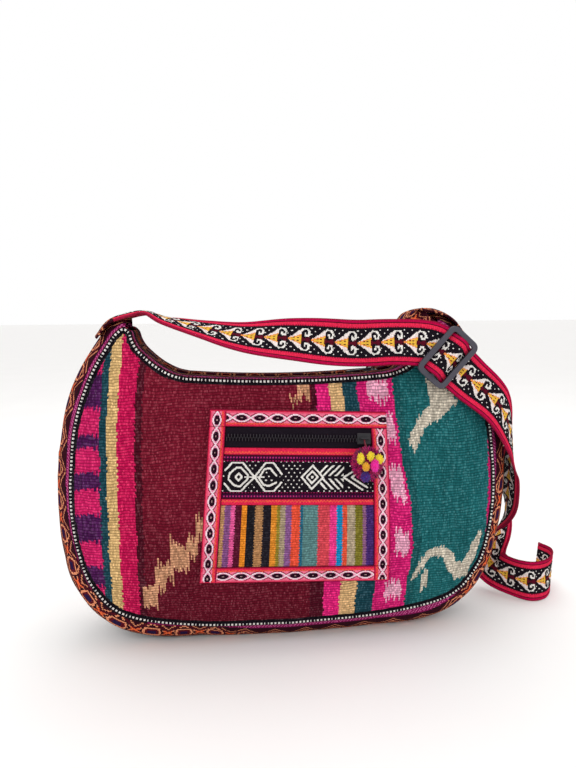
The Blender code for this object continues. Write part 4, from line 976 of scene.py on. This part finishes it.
def tuft(name, centre, size, tones, count, node, fibre, seed):
    """A wool pompom: a core ball with bent fibres all round it."""
    rng = np.random.default_rng(seed)
    golden = pi * (3 - sqrt(5))
    turns, rings = 14, 9
    polar, a = np.meshgrid(pi * (np.arange(rings) + 0.5) / rings, 2 * pi * np.arange(turns) / turns,
                           indexing="ij")
    way = np.stack([np.sin(polar) * np.cos(a), np.sin(polar) * np.sin(a), np.cos(polar)], -1)
    verts = list((centre + way * size * rng.uniform(0.82, 0.94, a.shape)[..., None]).reshape(-1, 3))
    faces = [(a, a + turns, b + turns, b) for a, b in grid_faces(rings, turns, wrap=True)[:, :2]]
    # The core ball is painted 15% darker than the fibres: painted shade deep among them.
    colours = [tones[(r + c) % len(tones)] * 0.85 for r in range(rings - 1) for c in range(turns)]
    for k in range(count):
        z = 1 - 2 * (k + 0.5) / count
        r = sqrt(1 - z * z)
        way = np.array([r * cos(golden * k), r * sin(golden * k), z]) + rng.normal(0, 0.16, 3)
        way /= np.linalg.norm(way)
        side = np.cross(way, (0.3, 0.5, 0.81))
        side /= np.linalg.norm(side)
        other = np.cross(way, side)
        reach = rng.uniform(0.90, 1.12)
        bend = rng.normal(0, 0.16, 2)
        base = len(verts)
        for level, wide in ((0.55, 1.0), (0.85, 1.0), (1.0, 0.45)):
            p = way * reach * level + (side * bend[0] + other * bend[1]) * level ** 2
            for angle in (0, 2 * pi / 3, 4 * pi / 3):
                q = (side * cos(angle) + other * sin(angle)) * fibre * wide
                verts.append(centre + p * size + q)
        for corner in range(6):
            a = base + corner
            b = a - 2 if corner % 3 == 2 else a + 1
            faces.append((a, b, b + 3, a + 3))
            colours.append(tones[k % len(tones)] * rng.uniform(0.70, 1.25))
    mesh_object(name, verts, faces, np.array(colours), np.zeros((len(verts), 2)), LOOKS["wool"],
                body="pompom_pull", nodes=(node,))


def pompoms():
    """The cluster on the pocket's slider and its twisted cord."""
    mixed = [lin(176, 16, 92), lin(210, 30, 126), lin(134, 12, 70), lin(222, 40, 104), lin(112, 16, 84)]
    yellow, gold = [lin(255, 222, 40), lin(255, 236, 80)], [lin(255, 196, 60), lin(250, 172, 50)]
    pink = [lin(255, 60, 190), lin(255, 44, 160)]
    navy = [lin(60, 44, 130), lin(84, 60, 150), lin(90, 30, 110)]
    coarse, fine = 0.00055, 0.0004
    plan = {"pompom_wine": (mixed, 2200, (1.12, 1.08, 1.16), coarse),
            "pompom_pink": (pink, 210, (1.15, 1.0, 1.55), fine),
            "pompom_yellow_1": (yellow, 180, (1.0, 0.95, 1.35), fine),
            "pompom_yellow_2": (yellow, 180, (1.0, 0.95, 1.1), fine),
            "pompom_yellow_3": (yellow, 180, (1.1, 0.95, 1.15), fine),
            "pompom_yellow_4": (gold, 170, (0.95, 0.95, 1.05), fine),
            "pompom_navy": (navy, 200, (1.3, 1.0, 1.3), fine)}
    for seed, (node, (tones, count, stretch, fibre)) in enumerate(plan.items()):
        low, high = (np.array(c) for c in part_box(node))
        size = (high - low) / 2 * np.array(stretch)
        tuft(node + "_wool", (low + high) / 2, size, tones, count, node, fibre, seed)
    twisted("pompom_cord", lin(170, 30, 60), "pompom_pull")


def remade(name, node, look):
    """A copy of a node's mesh with a look of its own."""
    thing = new_object(name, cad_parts[node].data.copy())
    thing.data.materials.clear()
    thing.data.materials.append(look)
    return thing


def twisted(node, colour, body):
    """A thin cord remade with a twist from its CAD solid."""
    n = Nodes(node + "_look", 0.9, 0.2)
    rope = n.add("ShaderNodeTexWave", {"Vector": n.place, "Scale": 500.0, "Distortion": 1.0}).outputs["Fac"]
    # The colour follows the twist's wave and is darker in its grooves: painted shade.
    n.link(n.scaled(n.plain(colour), n.times(rope, 0.5, 0.6)), "Base Color")
    n.bump(rope, 0.0003)
    thing = remade(node + "_twist", node, n.material)
    thing.matrix_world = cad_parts[node].matrix_world
    split = thing.modifiers.new("round", "SUBSURF")
    split.levels = split.render_levels = 1
    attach(thing, body)
    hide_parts(node)


def inner_bag():
    """The hidden lining, in its CAD shape."""
    thing = remade("lining_cloth", "lining", LOOKS["lining"])
    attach(thing, "bag")
    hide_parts("lining")


def widen_rim(mesh):
    """Push the adjuster's outer rim out in its own plane, to full bars."""
    places = np.array([tuple(v.co) for v in mesh.verts])
    middle = (places.min(axis=0) + places.max(axis=0)) / 2
    across = np.linalg.svd(places - places.mean(axis=0))[2]
    first, second = (places - middle) @ across[0], (places - middle) @ across[1]
    half = abs(first).max(), abs(second).max()
    rim, wider = 0.93, 0.0011
    for v, a, b in zip(mesh.verts, first, second):
        corner = hypot(a, b) > rim * hypot(*half) - 0.003
        if max(abs(a) / half[0], abs(b) / half[1]) > rim or corner:
            push = Vector(across[0]) * (a / half[0]) ** 3 + Vector(across[1]) * (b / half[1]) ** 3
            v.co += push.normalized() * wider


def adjuster():
    """The moulded adjuster with rounded edges."""
    thing = remade("adjuster", "buckle", LOOKS["plastic"])
    clean = bmesh.new()
    clean.from_mesh(thing.data)
    bmesh.ops.remove_doubles(clean, verts=clean.verts, dist=1e-6)
    bmesh.ops.dissolve_limit(clean, angle_limit=radians(1), verts=clean.verts, edges=clean.edges)
    widen_rim(clean)
    clean.to_mesh(thing.data)
    clean.free()
    edge = thing.modifiers.new("rounded", "BEVEL")
    edge.width = 0.0007
    edge.segments = 3
    edge.limit_method = "ANGLE"
    edge.angle_limit = radians(50)
    thing.data.shade_smooth()
    thing.data.set_sharp_from_angle(angle=radians(40))
    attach(thing, "bag")
    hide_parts("buckle")


def metal_parts():
    """Zip sliders and the main pull keep their CAD shape."""
    for node, look in (("main_slider", "metal"), ("main_pull", "metal"), ("pocket_slider", "black_metal")):
        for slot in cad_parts[node].material_slots:
            slot.material = LOOKS[look]


# Camera, light and floor

def stage():
    """Pale floor, soft light and a camera at the photograph's place."""
    floor = floor_object(30.0)
    scene = bpy.context.scene
    scene.view_settings.view_transform = "Standard"
    world = bpy.data.worlds.new("studio")
    scene.world = world
    world.use_nodes = True
    tree = world.node_tree
    tree.nodes.clear()
    soft = wired(tree, "ShaderNodeBackground", {0: (1, 0.99, 0.98, 1), 1: 0.98}).outputs[0]
    white = wired(tree, "ShaderNodeBackground", {0: (1, 1, 1, 1), 1: 1.0}).outputs[0]
    rays = wired(tree, "ShaderNodeLightPath").outputs
    seen = rays["Is Camera Ray"]
    for ray in ("Is Glossy Ray", "Is Transmission Ray"):
        seen = wired(tree, "ShaderNodeMath", {0: seen, 1: rays[ray]}, operation="MAXIMUM").outputs[0]
    mix = wired(tree, "ShaderNodeMixShader", {0: seen, 1: soft, 2: white}).outputs[0]
    wired(tree, "ShaderNodeOutputWorld", {"Surface": mix})
    for name, place, target, power, wide in (
            ("key", (-0.75, -1.25, 1.15), (0, 0, 0.10), 6.5, 1.0),
            ("fill", (1.2, -0.8, 0.9), (0, 0, 0.12), 1.5, 1.2),
            ("top", (0.1, 0.3, 1.6), (0, 0, 0.15), 5.0, 1.2)):
        light = bpy.data.lights.new(name, "AREA")
        light.energy = power
        light.size = wide
        lamp = new_object(name, light)
        lamp.location = place
        way = Vector(target) - Vector(place)
        lamp.rotation_euler = way.to_track_quat("-Z", "Y").to_euler()
    camera = bpy.data.cameras.new("camera")
    camera.sensor_fit = "VERTICAL"
    camera.sensor_height = 36.0
    camera.lens = 27.05
    camera.clip_start = 0.01
    eye = new_object("camera", camera)
    pitch, yaw, roll = radians(-6.6), radians(6.0), radians(-0.5)
    eye.location = (-0.0496, -0.50, 0.275)
    turn = (Matrix.Rotation(-yaw, 3, "Z") @ Matrix.Rotation(radians(90) + pitch, 3, "X")
            @ Matrix.Rotation(roll, 3, "Z"))
    eye.rotation_euler = turn.to_euler()
    scene.camera = eye


def floor_object(size):
    """A plain floor with a faint mottle."""
    mesh = bpy.data.meshes.new("floor")
    corners = [(x * size, y * size, -0.0004) for x, y in ((-1, -1), (1, -1), (1, 1), (-1, 1))]
    mesh.from_pydata(corners, [], [(0, 1, 2, 3)])
    n = Nodes("floor_paint", 0.75)
    lit = n.times(n.noise(6.0), 0.04, 0.98)
    n.link(n.scaled(n.plain((0.93, 0.925, 0.92)), lit), "Base Color")
    mesh.materials.append(n.material)
    return new_object("floor", mesh)


LOOKS = {
    "handwoven": cloth("handwoven", 1.1, 2.3, 0.0007, 0.60, 0.20, 0.72),
    "belt": cloth("belt_weave", 0.9, 1.3, 0.00035, 0.30),
    "cord": cloth("cord_weave", 1.2, 1.2, 0.0003, 0.25),
    "fine": cloth("fine_cloth", 0.7, 0.9, 0.0002, 0.30),
    "braid": cloth("braid_weave", 0.8, 1.0, 0.0003, 0.28),
    "stripes": cloth("stripe_weave", 1.1, 1.9, 0.0005, 0.48, 0.18, 0.3),
    "strap": cloth("strap_weave", 0.9, 1.3, 0.0003, 0.28),
    "wool": cloth("wool", 0.6, 0.6, 0.0002, 0.05, 0.10, 0.0, 0.98, None, 0.15),
    "lining": cloth("lining_weave", 0.7, 0.9, 0.0002, 0.30, colour=INK),
    "coil": hard("zip_coil", BLACK * 1.2, 0.45, 0.0, 0.0001, 900),
    "metal": hard("dark_metal", lin(38, 36, 42), 0.50, 0.5, 0.00005, 1400, 0.4),
    "black_metal": hard("black_metal", lin(22, 20, 26), 0.62, 0.0, 0.00005, 1400, 0.3),
    "plastic": hard("grey_plastic", lin(58, 56, 68), 0.48, 0.0, 0.00006, 1100, 0.2),
}

panel("front_cloth", -1, 0.00115, 0.0013, "front_panel")
panel("back_cloth", 1, 0.0019, 0.0022, "back_panel")
belt()
for make in (piping, placket):
    make("front", -1)
    make("rear", 1)
zip_parts()
pocket()
pocket_zip()
straps()
pompoms()
inner_bag()
adjuster()
metal_parts()
stage()
